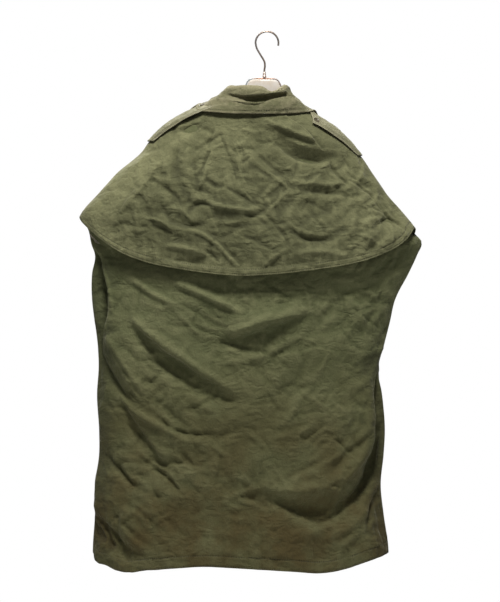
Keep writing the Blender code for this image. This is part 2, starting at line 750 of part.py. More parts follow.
def main():
    clear_scene()
    cape_cloth = make_material("cape cloth", OLIVE_CAPE, 0.9)
    coat_cloth = make_material("coat cloth", OLIVE_COAT, 0.92)
    strap_cloth = make_material("strap cloth", OLIVE_STRAP, 0.9)
    plate = make_material("white plate", WHITE_PLATE, 0.5)
    wire = make_material("copper wire", COPPER_WIRE, 0.35, 0.9)
    horn = make_material("button", BUTTON_BROWN, 0.4)

    make_panel("back", back_panel, spread(29), down_to_hem(28, 1.6), CLOTH, coat_cloth)
    make_panel("front_left", front_left_panel, spread(15), down_to_hem(28, 1.6), CLOTH, coat_cloth)
    make_panel("front_right", front_right_panel, spread(15), down_to_hem(28, 1.6), CLOTH, coat_cloth)
    make_panel("cape", cape_panel, spread(49), down_to_hem(14, 1.3), CLOTH, cape_cloth)
    make_collar(cape_cloth)
    make_strap("epaulette_left", STRAP_LEFT, math.pi, strap_cloth)
    make_strap("epaulette_right", STRAP_RIGHT, 0.0, strap_cloth)
    make_strap_buttons(horn)
    make_front_buttons(horn)
    make_hanger_body(plate)
    make_rim(wire)
    make_ferrule(wire)
    make_wire("hanger_hook", hook_route(), WIRE_RADIUS, 2, wire)


main()
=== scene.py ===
import math

import bmesh
import bpy
import numpy as np
from mathutils import Matrix, Vector, noise


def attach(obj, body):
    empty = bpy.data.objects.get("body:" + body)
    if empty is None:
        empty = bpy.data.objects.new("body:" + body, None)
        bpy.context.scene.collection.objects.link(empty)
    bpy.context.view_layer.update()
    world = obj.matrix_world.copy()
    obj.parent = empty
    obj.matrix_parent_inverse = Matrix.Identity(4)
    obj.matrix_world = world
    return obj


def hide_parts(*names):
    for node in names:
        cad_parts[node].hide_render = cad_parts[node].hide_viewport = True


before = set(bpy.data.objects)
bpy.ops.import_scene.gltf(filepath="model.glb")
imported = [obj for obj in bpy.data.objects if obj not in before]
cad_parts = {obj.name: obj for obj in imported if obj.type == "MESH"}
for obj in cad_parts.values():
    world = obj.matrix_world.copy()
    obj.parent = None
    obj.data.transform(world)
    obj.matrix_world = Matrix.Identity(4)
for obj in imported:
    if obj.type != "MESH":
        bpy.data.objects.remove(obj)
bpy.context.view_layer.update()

# An olive caped coat seen from behind on its hanger. Metres, +Z up, the coat's back towards -Y.
# The cloth's shells follow the solids' own form, then carry the smaller creases, the sewing, the wear and painted
# shade.


# ---- camera, light and floor ----

camera = {"distance": 9.0, "centreX": -0.0408, "centreZ": -0.6448, "heightSeen": 1.4448, "sensor": 36.0}
studio = {
    "keyPlace": (-0.10, -1.40, 1.95), "keyAim": (-0.04, 0.0, -0.62), "keySize": (0.8, 0.5), "keyPower": 124.0,
    "fillPlace": (1.6, -3.6, -0.3), "fillAim": (-0.04, 0.0, -0.8), "fillSize": (2.4, 2.4), "fillPower": 6.0,
    "frontPlace": (-0.5, 2.1, 1.7), "frontAim": (-0.04, 0.0, -0.65), "frontSize": (1.4, 1.0), "frontPower": 110.0,
    "airLight": 0.11, "floorHeight": -1.75, "floorRadius": 3.0,
}


def aimed(place, target):
    turn = (Vector(target) - Vector(place)).to_track_quat("-Z", "Y").to_matrix().to_4x4()
    return Matrix.Translation(Vector(place)) @ turn


def addLamp(name, place, target, size, power, colour):
    lamp = bpy.data.lights.new(name, "AREA")
    lamp.shape = "RECTANGLE"
    lamp.size, lamp.size_y = size
    lamp.energy = power
    lamp.color = colour
    holder = bpy.data.objects.new(name, lamp)
    bpy.context.collection.objects.link(holder)
    holder.matrix_world = aimed(place, target)
    holder.visible_camera = False
    return holder


def setStage():
    lens = bpy.data.cameras.new("photoCamera")
    lens.sensor_width = camera["sensor"]
    lens.lens = camera["sensor"] * camera["distance"] / camera["heightSeen"]
    lens.clip_end = 60.0
    holder = bpy.data.objects.new("photoCamera", lens)
    bpy.context.collection.objects.link(holder)
    holder.location = (camera["centreX"], -camera["distance"], camera["centreZ"])
    holder.rotation_euler = (math.pi / 2, 0.0, 0.0)
    bpy.context.scene.camera = holder
    bpy.context.scene.view_settings.view_transform = "Standard"

    world = bpy.data.worlds.new("paleRoom")
    world.use_nodes = True
    nodes, links = world.node_tree.nodes, world.node_tree.links
    air = nodes["Background"]
    air.inputs["Color"].default_value = (1.0, 1.0, 1.0, 1.0)
    air.inputs["Strength"].default_value = studio["airLight"]
    seen = nodes.new("ShaderNodeBackground")
    seen.inputs["Color"].default_value = (1.0, 1.0, 1.0, 1.0)
    rays = nodes.new("ShaderNodeLightPath")
    choose = nodes.new("ShaderNodeMixShader")
    links.new(rays.outputs["Is Camera Ray"], choose.inputs[0])
    links.new(air.outputs[0], choose.inputs[1])
    links.new(seen.outputs[0], choose.inputs[2])
    links.new(choose.outputs[0], nodes["World Output"].inputs["Surface"])
    bpy.context.scene.world = world

    addLamp("keyLight", studio["keyPlace"], studio["keyAim"], studio["keySize"], studio["keyPower"], (1.0, 0.98, 0.95))
    addLamp("frontLight", studio["frontPlace"], studio["frontAim"], studio["frontSize"], studio["frontPower"], (1.0, 0.98, 0.95))
    addLamp("fillLight", studio["fillPlace"], studio["fillAim"], studio["fillSize"], studio["fillPower"], (0.95, 0.98, 1.0))

    work = bmesh.new()
    bmesh.ops.create_circle(work, cap_ends=True, segments=96, radius=studio["floorRadius"])
    bmesh.ops.translate(work, verts=work.verts, vec=(0.0, 0.0, studio["floorHeight"]))
    floor = newPiece("paleFloor", work, plainMaterial("floorPaint", (0.80, 0.80, 0.79), 0.8))


# ---- small helpers for meshes and materials ----


def newPiece(name, work, material):
    mesh = bpy.data.meshes.new(name)
    work.to_mesh(mesh)
    work.free()
    mesh.shade_smooth()
    piece = bpy.data.objects.new(name, mesh)
    bpy.context.collection.objects.link(piece)
    mesh.materials.append(material)
    return piece


def plainMaterial(name, colour, roughness):
    material = bpy.data.materials.new(name)
    material.use_nodes = True
    shader = material.node_tree.nodes["Principled BSDF"]
    shader.inputs["Base Color"].default_value = (*colour, 1.0)
    shader.inputs["Roughness"].default_value = roughness
    return material


def addNode(tree, kind, settings=None, **values):
    node = tree.nodes.new(kind)
    for key, value in (settings or {}).items():
        setattr(node, key, value)
    for key, value in values.items():
        socket = node.inputs[int(key[1:])] if key[0] == "i" and key[1:].isdigit() else node.inputs[key.replace("_", " ")]
        if isinstance(value, bpy.types.NodeSocket):
            tree.links.new(value, socket)
        else:
            socket.default_value = value
    return node


def calc(tree, operation, first, second=0.0, clamp=False):
    return addNode(tree, "ShaderNodeMath", {"operation": operation, "use_clamp": clamp}, i0=first, i1=second).outputs[0]


def spreadTo(tree, value, low, high, toLow=0.0, toHigh=1.0):
    node = addNode(tree, "ShaderNodeMapRange", {"interpolation_type": "SMOOTHSTEP"}, i0=value, i1=low, i2=high, i3=toLow, i4=toHigh)
    return node.outputs[0]


def mixColour(tree, share, first, second, blend="MIX"):
    node = tree.nodes.new("ShaderNodeMix")
    node.data_type, node.blend_type = "RGBA", blend
    for place, value in ((0, share), (6, first), (7, second)):
        if isinstance(value, bpy.types.NodeSocket):
            tree.links.new(value, node.inputs[place])
        else:
            node.inputs[place].default_value = value if place == 0 else (*value, 1.0)
    return node.outputs[2]


# ---- the solids' form: the same rings and formulas as the part's source ----

cloth = {
    "wall": 0.002, "seamGap": 0.0003, "coatHem": 0.029, "capeHem": 0.017, "hemThicker": 0.0008,
    "neckHeight": -0.162, "frontNeckDrop": 0.025, "coatBelowCape": 0.0026,
}
# height, left edge, right edge, depth behind, depth in front
coatRows = (
    (-0.1645, -0.1015, 0.0435, 0.0587, 0.0567),
    (-0.172, -0.118, 0.059, 0.0595, 0.0575),
    (-0.180, -0.144, 0.079, 0.060, 0.058),
    (-0.193, -0.178, 0.100, 0.062, 0.060),
    (-0.207, -0.206, 0.119, 0.063, 0.061),
    (-0.221, -0.230, 0.140, 0.064, 0.062),
    (-0.236, -0.249, 0.161, 0.065, 0.063),
    (-0.269, -0.282, 0.194, 0.067, 0.065),
    (-0.298, -0.305, 0.216, 0.069, 0.067),
    (-0.341, -0.355, 0.249, 0.071, 0.069),
    (-0.399, -0.408, 0.289, 0.074, 0.072),
    (-0.449, -0.438, 0.333, 0.076, 0.074),
    (-0.480, -0.427, 0.352, 0.078, 0.076),
    (-0.506, -0.422, 0.371, 0.079, 0.077),
    (-0.533, -0.413, 0.361, 0.080, 0.078),
    (-0.580, -0.420, 0.339, 0.080, 0.078),
    (-0.640, -0.420, 0.308, 0.080, 0.078),
    (-0.695, -0.413, 0.295, 0.080, 0.078),
    (-0.753, -0.406, 0.280, 0.080, 0.078),
    (-0.800, -0.404, 0.266, 0.080, 0.078),
    (-0.868, -0.408, 0.276, 0.080, 0.078),
    (-0.955, -0.403, 0.283, 0.081, 0.079),
    (-1.012, -0.403, 0.280, 0.082, 0.080),
    (-1.085, -0.413, 0.273, 0.082, 0.080),
    (-1.156, -0.413, 0.280, 0.083, 0.081),
    (-1.235, -0.418, 0.291, 0.084, 0.082),
    (-1.300, -0.418, 0.291, 0.085, 0.083),
)
capeRows = (
    (-0.162, -0.104, 0.046, 0.0605, 0.0585),
    (-0.166, -0.118, 0.059, 0.062, 0.060),
    (-0.174, -0.144, 0.079, 0.065, 0.063),
    (-0.187, -0.178, 0.100, 0.069, 0.067),
    (-0.201, -0.206, 0.119, 0.073, 0.071),
    (-0.215, -0.230, 0.140, 0.077, 0.075),
    (-0.230, -0.250, 0.163, 0.080, 0.078),
    (-0.247, -0.268, 0.181, 0.083, 0.081),
    (-0.263, -0.283, 0.197, 0.085, 0.083),
    (-0.292, -0.305, 0.221, 0.089, 0.087),
    (-0.306, -0.321, 0.232, 0.090, 0.088),
    (-0.335, -0.357, 0.251, 0.093, 0.090),
    (-0.364, -0.384, 0.271, 0.096, 0.093),
    (-0.393, -0.410, 0.291, 0.099, 0.095),
    (-0.422, -0.437, 0.317, 0.101, 0.097),
    (-0.443, -0.450, 0.335, 0.103, 0.098),
    (-0.474, -0.450, 0.359, 0.105, 0.100),
    (-0.620, -0.450, 0.359, 0.112, 0.106),
)
# share of the half-width, height
coatHemRows = (
    (-1.0, -1.247), (-0.983, -1.262), (-0.915, -1.276), (-0.82, -1.290), (-0.61, -1.286), (-0.21, -1.277), (0.0, -1.281),
    (0.41, -1.290), (0.51, -1.293), (0.715, -1.283), (0.82, -1.271), (0.92, -1.259), (1.0, -1.247),
)
frontHemLower = 0.005
# share of the half-width, share of the drop
capeHemRows = (
    (0.0, 1.0), (0.178, 0.966), (0.414, 0.87), (0.592, 0.77), (0.698, 0.67), (0.781, 0.555), (0.864, 0.40), (0.923, 0.25), (1.0, 0.0),
)
capeCorners = {"left": -0.443, "right": -0.470, "middle": -0.585, "frontHalfGap": 0.025}
armhole = {"top": -0.270, "footLeft": -0.470, "footRight": -0.495, "pull": 0.026}
middleRows = ((-0.160, -0.029), (-0.500, -0.034), (-1.300, -0.064))
front = {
    "overlap": 0.040, "mostOffLine": 0.3, "inset": 0.0032, "insetStarts": 0.08, "insetFades": 0.45,
    "mirrorLine": -0.09, "foldShift": 0.05, "capeFoldShift": 0.02, "flatHalf": 0.025, "flatFade": 0.04,
}
# start x, start z, end x, end z, bow, half-width, height
coatFolds = (
    (0.238, -0.976, 0.127, -1.134, -0.012, 0.020, -0.0060),
    (0.271, -1.053, 0.077, -1.185, 0.020, 0.026, 0.0050),
    (-0.329, -0.686, -0.084, -0.880, -0.020, 0.024, -0.0055),
    (-0.350, -0.875, -0.240, -1.041, -0.008, 0.022, -0.0045),
    (-0.089, -0.719, 0.089, -0.681, 0.004, 0.024, 0.0045),
    (-0.300, -0.620, -0.120, -0.660, 0.010, 0.026, 0.0040),
    (-0.020, -1.080, 0.080, -1.130, 0.000, 0.024, -0.0035),
)
capeFolds = (
    (0.002, -0.220, 0.168, -0.285, 0.008, 0.015, 0.0065),
    (0.017, -0.242, 0.161, -0.296, -0.024, 0.018, -0.0060),
    (-0.205, -0.236, -0.170, -0.240, 0.000, 0.022, -0.0060),
    (-0.293, -0.448, -0.091, -0.542, 0.010, 0.014, 0.0050),
    (-0.276, -0.354, -0.218, -0.405, 0.000, 0.014, -0.0040),
    (0.005, -0.558, 0.086, -0.482, 0.000, 0.018, 0.0040),
    (0.062, -0.462, 0.132, -0.503, 0.000, 0.022, -0.0050),
    (0.262, -0.472, 0.334, -0.465, 0.012, 0.014, -0.0045),
)
# tip angle, top, foot, angle in from the tip, half-angle, depth
sidePleats = (
    (math.pi, -0.530, -0.770, 0.34, 0.10, 0.008),
    (0.0, -0.790, -1.090, 0.30, 0.09, 0.008),
    (0.0, -1.080, -1.240, 0.27, 0.09, 0.006),
)


def readRows(rows, where, column):
    # A smooth curve through one column of a table.
    table = np.array(rows)
    table = table[np.argsort(table[:, 0])]
    keys, values = table[:, 0], table[:, column]
    slopes = np.gradient(values, keys)
    where = np.asarray(where, float)
    low = np.clip(np.searchsorted(keys, where) - 1, 0, len(keys) - 2)
    gap = keys[low + 1] - keys[low]
    t = np.clip((where - keys[low]) / gap, 0.0, 1.0)
    start = values[low] * (2 * t**3 - 3 * t**2 + 1) + slopes[low] * gap * (t**3 - 2 * t**2 + t)
    return start + values[low + 1] * (3 * t**2 - 2 * t**3) + slopes[low + 1] * gap * (t**3 - t**2)


def ease(t):
    t = np.clip(t, 0.0, 1.0)
    return t * t * (3 - 2 * t)


def unit(vectors):
    return vectors / np.maximum(np.linalg.norm(vectors, axis=-1, keepdims=True), 1e-12)


def ringPlace(rows, angle, z):
    # Angle 0 is the right tip, pi/2 the middle of the back.
    left, right = readRows(rows, z, 1), readRows(rows, z, 2)
    depth = np.where(np.sin(angle) >= 0, readRows(rows, z, 3), readRows(rows, z, 4))
    x = (left + right) / 2 + (right - left) / 2 * np.cos(angle)
    return np.stack([x, -depth * np.sin(angle), z + 0 * x], axis=-1)


def ringNormal(rows, angle, z):
    across = ringPlace(rows, angle + 1e-3, z) - ringPlace(rows, angle - 1e-3, z)
    down = ringPlace(rows, angle, z - 1e-4) - ringPlace(rows, angle, z + 1e-4)
    return unit(np.cross(across, down))


def largeFolds(folds, x, z):
    total = 0 * x
    for startX, startZ, endX, endZ, bow, width, height in folds:
        runX, runZ = endX - startX, endZ - startZ
        length = math.hypot(runX, runZ)
        t = ((x - startX) * runX + (z - startZ) * runZ) / length**2
        inside = np.clip(t, 0.0, 1.0)
        aside = ((z - startZ) * runX - (x - startX) * runZ) / length - bow * 4 * inside * (1 - inside)
        beyond = (t - inside) * length
        total = total + height * (0.4 + 0.6 * np.sin(math.pi * inside)) * np.exp(-(aside**2 + beyond**2) / width**2)
    return total


def offButtons(x, z):
    return ease((np.abs(x - readRows(middleRows, z, 1)) - front["flatHalf"]) / front["flatFade"])


def coatFace(angle, z):
    base, normal = ringPlace(coatRows, angle, z), ringNormal(coatRows, angle, z)
    behind, x = np.sin(angle) >= 0, base[..., 0]
    folds = np.where(behind, largeFolds(coatFolds, x, z), largeFolds(coatFolds, front["mirrorLine"] - x, z + front["foldShift"]))
    mask = ease(np.abs(np.sin(angle)) / 0.35) * ease((-0.56 - z) / 0.06)
    lift = folds * mask * np.where(behind, 1.0, offButtons(x, z))
    for tip, top, foot, inward, halfAngle, depth in sidePleats:
        fromTip = np.abs(angle - tip) - inward
        tall = np.sin(math.pi * np.clip((z - foot) / (top - foot), 0.0, 1.0))
        lift = lift - behind * depth * tall * np.exp(-((fromTip / halfAngle) ** 2))
    return base + normal * lift[..., None]


def capeFace(angle, z):
    base, normal = ringPlace(capeRows, angle, z), ringNormal(capeRows, angle, z)
    behind, x = np.sin(angle) >= 0, base[..., 0]
    folds = np.where(behind, largeFolds(capeFolds, x, z), largeFolds(capeFolds, front["mirrorLine"] - x, z + front["capeFoldShift"]))
    mask = ease(np.abs(np.sin(angle)) / 0.5) * ease((-0.205 - z) / 0.03)
    return base + normal * (folds * mask)[..., None]


def heightDown(top, foot, hem, down):
    above = top + (foot + hem - top) * np.minimum(down, 1.0)
    return above - hem * np.maximum(down - 1.0, 0.0)


def armholePull(z, foot):
    share = np.clip((armhole["top"] - z) / (armhole["top"] - foot), 0.0, 1.0)
    return armhole["pull"] * (1 - (2 * share - 1) ** 4)


def tipMargin(z, foot, column):
    return (cloth["seamGap"] / 2 + armholePull(z, foot)) / readRows(coatRows, z, column)


def coatHemAt(angle):
    return readRows(coatHemRows, np.cos(angle), 1) - frontHemLower * ease(-np.sin(angle) / 0.5)


def neckline(angle):
    return cloth["neckHeight"] - cloth["frontNeckDrop"] * np.sin(angle) ** 4 * (np.sin(angle) < 0)


def frontAngle(rows, z, offset):
    left, right = readRows(rows, z, 1), readRows(rows, z, 2)
    half = (right - left) / 2
    offLine = np.clip(offset, -front["mostOffLine"] * half, front["mostOffLine"] * half)
    return 1.5 * math.pi + np.arcsin((readRows(middleRows, z, 1) + offLine - (left + right) / 2) / half)


def coatHeight(plain, down):
    return heightDown(neckline(plain) - cloth["coatBelowCape"], coatHemAt(plain), cloth["coatHem"], down)


def backPanel(across, down):
    z = coatHeight(math.pi * across, down)
    start = tipMargin(z, armhole["footRight"], 3)
    end = math.pi - tipMargin(z, armhole["footLeft"], 3)
    return coatFace(start + (end - start) * across, z)


def frontLeftPanel(across, down):
    z = coatHeight(math.pi + math.pi / 2 * across, down)
    start = math.pi + tipMargin(z, armhole["footLeft"], 4)
    return coatFace(start + (frontAngle(coatRows, z, front["overlap"]) - start) * across, z)


def frontRightPanel(across, down):
    z = coatHeight(1.5 * math.pi + math.pi / 2 * across, down)
    start = frontAngle(coatRows, z, -front["overlap"])
    end = 2 * math.pi - tipMargin(z, armhole["footRight"], 4)
    angle = start + (end - start) * across
    coveredTo = frontAngle(coatRows, z, front["overlap"])
    lap = coveredTo - start
    under = 1 - ease((angle - coveredTo - front["insetStarts"] * lap) / (front["insetFades"] * lap))
    return coatFace(angle, z) - ringNormal(coatRows, angle, z) * (front["inset"] * under)[..., None]


def capeHemAt(angle):
    share = (1 + np.cos(angle)) / 2
    corner = capeCorners["left"] + (capeCorners["right"] - capeCorners["left"]) * share
    return corner + (capeCorners["middle"] - corner) * readRows(capeHemRows, np.abs(np.cos(angle)), 1)


def capePlace(across, down):
    plain = -math.pi / 2 + 2 * math.pi * across
    z = heightDown(neckline(plain), capeHemAt(plain), cloth["capeHem"], down)
    start = frontAngle(capeRows, z, capeCorners["frontHalfGap"]) - 2 * math.pi
    end = frontAngle(capeRows, z, -capeCorners["frontHalfGap"])
    return start + (end - start) * across, z


def capePanel(across, down):
    return capeFace(*capePlace(across, down))


# ---- listed creases, and the small crumple between them ----

# Crease tables count in steps of 2.4 mm from a corner up and left of the coat: from, through, to (across, down),
# then in mm the half-width above, the half-width below and the height. A row that runs down has "above" on its right.
step = 0.0024
cornerX, cornerZ = -0.6408, 0.0776
creaseStrength = 2.0
coatCreases = (
    (95, 250, 106, 302, 99, 352, 3.5, 20, -9.0),
    (138, 458, 168, 462, 206, 458, 26, 9, -2.6),
    (176, 434, 204, 438, 236, 428, 22, 9, -2.2),
    (228, 318, 262, 318, 300, 306, 9, 26, 2.4),
    (140, 300, 160, 308, 178, 312, 22, 10, 2.2),
    (104, 556, 118, 530, 112, 505, 18, 10, -2.6),
    (100, 266, 108, 285, 113, 312, 8, 7, 3.5),
    (134, 280, 152, 293, 182, 307, 8, 9, 4.5),
    (176, 284, 208, 298, 246, 314, 17, 8, 6.0),
    (199, 308, 196, 317, 192, 325, 4, 4, -2.2),
    (168, 323, 181, 326, 192, 325, 5, 5, -2.4),
    (192, 324, 205, 331, 224, 334, 5, 7, -3.2),
    (230, 338, 258, 324, 314, 311, 24, 9, 7.0),
    (218, 341, 240, 346, 270, 353, 9, 11, -4.5),
    (108, 334, 124, 362, 148, 398, 24, 8, 4.5),
    (98, 346, 113, 378, 137, 408, 8, 13, -3.0),
    (120, 394, 146, 418, 202, 443, 15, 10, 6.0),
    (124, 404, 141, 432, 168, 468, 8, 13, -3.5),
    (133, 318, 172, 350, 234, 392, 22, 9, 8.0),
    (148, 345, 186, 380, 240, 403, 9, 15, -4.0),
    (141, 387, 155, 379, 163, 366, 4, 4, -2.2),
    (174, 389, 185, 391, 198, 391, 5, 5, -3.2),
    (186, 409, 200, 404, 217, 395, 5, 7, -3.4),
    (164, 426, 187, 432, 214, 432, 5, 6, -4.2),
    (262, 281, 276, 290, 291, 298, 3.5, 3.5, -2.0),
    (330, 299, 340, 296, 351, 300, 4, 4, 1.6),
    (358, 291, 370, 294, 378, 303, 4, 5, 1.8),
    (341, 326, 349, 339, 363, 351, 4, 4, -1.8),
    (313, 378, 323, 364, 329, 347, 4, 5, 1.8),
    (300, 384, 306, 381, 315, 380, 4, 3.5, 1.8),
    (303, 384, 300, 391, 303, 398, 3.5, 3.5, -1.6),
    (278, 385, 285, 391, 291, 396, 4, 4, -1.6),
    (381, 362, 375, 400, 376, 452, 20, 4, -7.0),
    (286, 505, 348, 514, 381, 430, 40, 11, -9.0),
    (300, 532, 352, 524, 386, 470, 10, 30, 4.0),
    (240, 494, 284, 503, 330, 512, 26, 12, -4.5),
    (297, 530, 346, 513, 382, 466, 7, 26, 6.5),
    (256, 487, 350, 472, 372, 396, 30, 12, 6.0),
    (302, 440, 312, 433, 322, 425, 4, 5, -3.4),
    (293, 439, 304, 430, 317, 420, 7, 4, 2.6),
    (328, 432, 338, 441, 349, 451, 4, 4, -2.8),
    (310, 448, 314, 441, 319, 435, 3.5, 3.5, -1.6),
    (318, 463, 330, 458, 344, 451, 5, 6, 2.6),
    (286, 477, 303, 469, 323, 460, 8, 5, -2.8),
    (224, 498, 240, 492, 264, 485, 6, 6, 2.8),
    (252, 496, 258, 501, 272, 506, 4, 5, -1.8),
    (236, 431, 247, 426, 258, 431, 4, 4, -2.2),
    (261, 435, 268, 444, 273, 454, 4, 4, -1.8),
    (105, 454, 120, 470, 135, 485, 6, 8, -4.6),
    (138, 452, 164, 469, 189, 496, 5, 5, 3.0),
    (151, 467, 166, 473, 182, 489, 4, 8, -5.0),
    (98, 500, 120, 501, 141, 497, 4, 4, -1.4),
    (99, 517, 113, 531, 129, 551, 9, 11, -5.0),
    (181, 529, 188, 535, 197, 538, 4, 5, -2.4),
    (150, 520, 158, 515, 167, 512, 3.5, 3.5, -1.4),
    (172, 460, 192, 463, 209, 466, 4, 4, -1.8),
    (222, 428, 230, 419, 246, 421, 4, 5, 1.8),
    (350, 300, 362, 318, 366, 340, 6, 6, 1.6),
    (380, 486, 372, 505, 365, 532, 10, 5, -4.0),
    (205, 355, 222, 362, 243, 359, 7, 7, 2.0),
    (262, 361, 280, 352, 300, 350, 6, 6, -1.8),
    (330, 399, 342, 410, 349, 424, 5, 6, 2.0),
    (210, 452, 217, 463, 213, 475, 5, 5, 2.0),
    (232, 470, 243, 478, 252, 481, 5, 5, 1.8),
    (262, 404, 274, 400, 288, 403, 5, 5, -1.6),
    (222, 512, 240, 519, 254, 517, 6, 6, 1.8),
)
capeCreases = (
    (120, 262, 215, 282, 305, 278, 46, 30, -5.4),
    (121, 212, 139, 194, 160, 164, 16, 4.5, 3.8),
    (152, 180, 166, 188, 179, 200, 4, 5, -2.8),
    (181, 175, 186, 178, 193, 182, 3.5, 3.5, -1.8),
    (179, 130, 192, 129, 207, 118, 7, 8, -4.5),
    (196, 151, 208, 143, 223, 135, 5, 5, -3.4),
    (200, 156, 214, 149, 230, 143, 5, 6, 2.0),
    (206, 170, 203, 182, 197, 191, 5, 4, 3.0),
    (205, 179, 214, 186, 225, 187, 6, 6, -3.6),
    (195, 192, 203, 191, 214, 197, 4, 4, -2.8),
    (227, 189, 240, 196, 257, 207, 5, 6, -3.2),
    (207, 203, 228, 209, 254, 212, 7, 7, 4.2),
    (188, 214, 199, 205, 213, 208, 7, 8, -4.0),
    (147, 219, 158, 221, 172, 229, 3.5, 3.5, 3.4),
    (157, 227, 166, 230, 175, 236, 3.5, 4, -1.6),
    (176, 229, 207, 238, 233, 263, 8, 4, 4.4),
    (219, 242, 230, 253, 243, 267, 4, 4, -3.2),
    (205, 249, 212, 255, 220, 262, 4, 5, -2.6),
    (176, 226, 190, 228, 206, 223, 6, 6, -3.2),
    (164, 247, 185, 249, 208, 256, 13, 7, 4.0),
    (172, 263, 186, 262, 207, 266, 14, 4, -2.0),
    (161, 204, 166, 213, 172, 223, 4, 4, -2.2),
    (113, 229, 122, 224, 132, 224, 5, 6, -2.6),
    (110, 195, 116, 198, 123, 199, 3.5, 3.5, -1.6),
    (99, 206, 105, 204, 112, 206, 3.5, 3.5, -1.4),
    (140, 240, 151, 238, 160, 243, 5, 5, 1.8),
    (264, 121, 300, 136, 344, 150, 9, 5, 5.0),
    (272, 138, 303, 160, 338, 156, 22, 6, -4.5),
    (288, 183, 320, 185, 352, 184, 14, 6, 3.6),
    (299, 190, 330, 193, 358, 190, 4, 6, -2.8),
    (331, 161, 335, 172, 348, 185, 5, 5, -3.8),
    (349, 181, 364, 190, 379, 207, 4, 5, -3.2),
    (366, 192, 374, 201, 386, 213, 4, 4, 2.0),
    (267, 215, 276, 204, 287, 192, 4, 4, 3.0),
    (251, 161, 270, 175, 291, 191, 4, 4, 3.0),
    (259, 157, 272, 168, 285, 179, 4, 4, -2.8),
    (245, 216, 254, 217, 263, 213, 3.5, 3.5, -2.6),
    (250, 212, 257, 210, 265, 209, 3.5, 3.5, 2.0),
    (285, 221, 303, 234, 328, 236, 14, 6, 3.4),
    (292, 230, 308, 240, 330, 239, 9, 7, -3.0),
    (297, 255, 320, 252, 347, 257, 10, 9, 3.6),
    (300, 265, 312, 267, 325, 271, 10, 4, -2.0),
    (373, 229, 388, 220, 405, 231, 5, 6, -3.4),
    (261, 268, 272, 259, 285, 249, 4, 4, 2.6),
    (271, 266, 277, 260, 284, 255, 3.5, 3.5, -2.0),
    (338, 234, 347, 231, 356, 233, 5, 5, -2.2),
    (370, 206, 376, 210, 384, 213, 4, 4, -2.2),
    (232, 152, 243, 149, 256, 151, 4, 5, -2.0),
    (225, 160, 235, 166, 240, 175, 5, 5, -2.0),
    (240, 128, 252, 133, 264, 131, 4, 5, 2.0),
    (255, 140, 263, 144, 275, 141, 4, 4, -1.8),
    (215, 222, 232, 224, 246, 220, 6, 6, 2.2),
    (330, 200, 334, 212, 331, 224, 6, 6, 1.8),
    (355, 214, 352, 226, 356, 240, 5, 6, 1.8),
    (128, 172, 137, 165, 147, 155, 8, 8, 1.6),
    (244, 236, 256, 240, 268, 236, 6, 6, -1.8),
    (276, 226, 284, 236, 290, 248, 5, 5, -2.2),
)


# Broad slopes that fall away from the light, their middle line as above, then in mm half-width, fade and height.
coatSlopes = (
    (250, 490, 345, 490, 378, 398, 20, 50, 13.0),
    (132, 322, 178, 358, 238, 398, 12, 35, 4.5),
    (192, 328, 228, 337, 318, 312, 11, 30, 3.5),
    (100, 335, 118, 374, 142, 410, 14, 35, 8.5),
    (124, 408, 145, 440, 172, 470, 11, 30, 5.5),
    (94, 512, 112, 534, 136, 554, 14, 30, 6.0),
    (98, 268, 165, 284, 256, 284, 17, 35, 5.0),
    (310, 278, 346, 287, 384, 270, 18, 35, 5.0),
    (140, 448, 168, 458, 214, 424, 12, 30, 2.5),
)
capeSlopes = (
    (272, 138, 306, 154, 342, 152, 15, 30, 7.0),
    (146, 176, 133, 196, 120, 216, 9, 30, 2.0),
    (190, 204, 220, 214, 256, 210, 12, 30, 2.5),
)
# Smooth places between the creases, in the same steps: middle across, middle down, half-width, half-height, share smoothed
coatSmooth = (
    (345, 281, 36, 12, 0.9), (150, 284, 44, 7, 0.5), (120, 372, 14, 30, 0.6),
)
capeSmooth = (
    (306, 151, 38, 15, 0.92), (184, 251, 28, 8, 0.8), (320, 255, 30, 9, 0.8), (308, 226, 24, 8, 0.6), (312, 134, 20, 9, 0.8),
    (176, 142, 12, 9, 0.7),
)


def smoothed(places, x, z):
    # How much of the small crumple is left at a place.
    left = 1.0 + 0 * x
    for middleX, middleZ, wide, tall, share in places:
        away = np.hypot((x - cornerX) / step - middleX, ((cornerZ - z) / step - middleZ) * wide / tall) / wide
        left = left * (1 - share * (1 - ease((away - 0.6) / 0.6)))
    return left


def scatterCreases(seed, field, count, slopes, places):
    # Small straight creases between the main ones, in the tables' own steps.
    chance = np.random.default_rng(seed)
    rows = []
    for _ in range(count):
        x, y = chance.uniform(field[0], field[2]), chance.uniform(field[1], field[3])
        left = float(smoothed(places, np.array(cornerX + x * step), np.array(cornerZ - y * step)))
        slope = math.radians(chance.choice(slopes) + chance.normal(0.0, 15.0))
        half, bow = chance.uniform(4.0, 22.0), chance.normal(0.0, 1.6)
        runX, runY = half * math.cos(slope), half * math.sin(slope)
        wide, height = chance.uniform(2.4, 6.0), chance.choice((-1.0, 1.0)) * chance.uniform(0.7, 1.9) * left
        rows.append((x - runX, y - runY, x - bow * math.sin(slope), y + bow * math.cos(slope), x + runX, y + runY,
                     wide, wide * chance.uniform(0.5, 1.8), height))
    return tuple(rows)


coatCreases += scatterCreases(11, (98, 282, 384, 552), 230, (38, 44, -34, 4, 52, -60, 28), coatSmooth)
capeCreases += scatterCreases(23, (110, 125, 400, 262), 150, (40, -42, 5, -55, 60, 22, 88), capeSmooth)


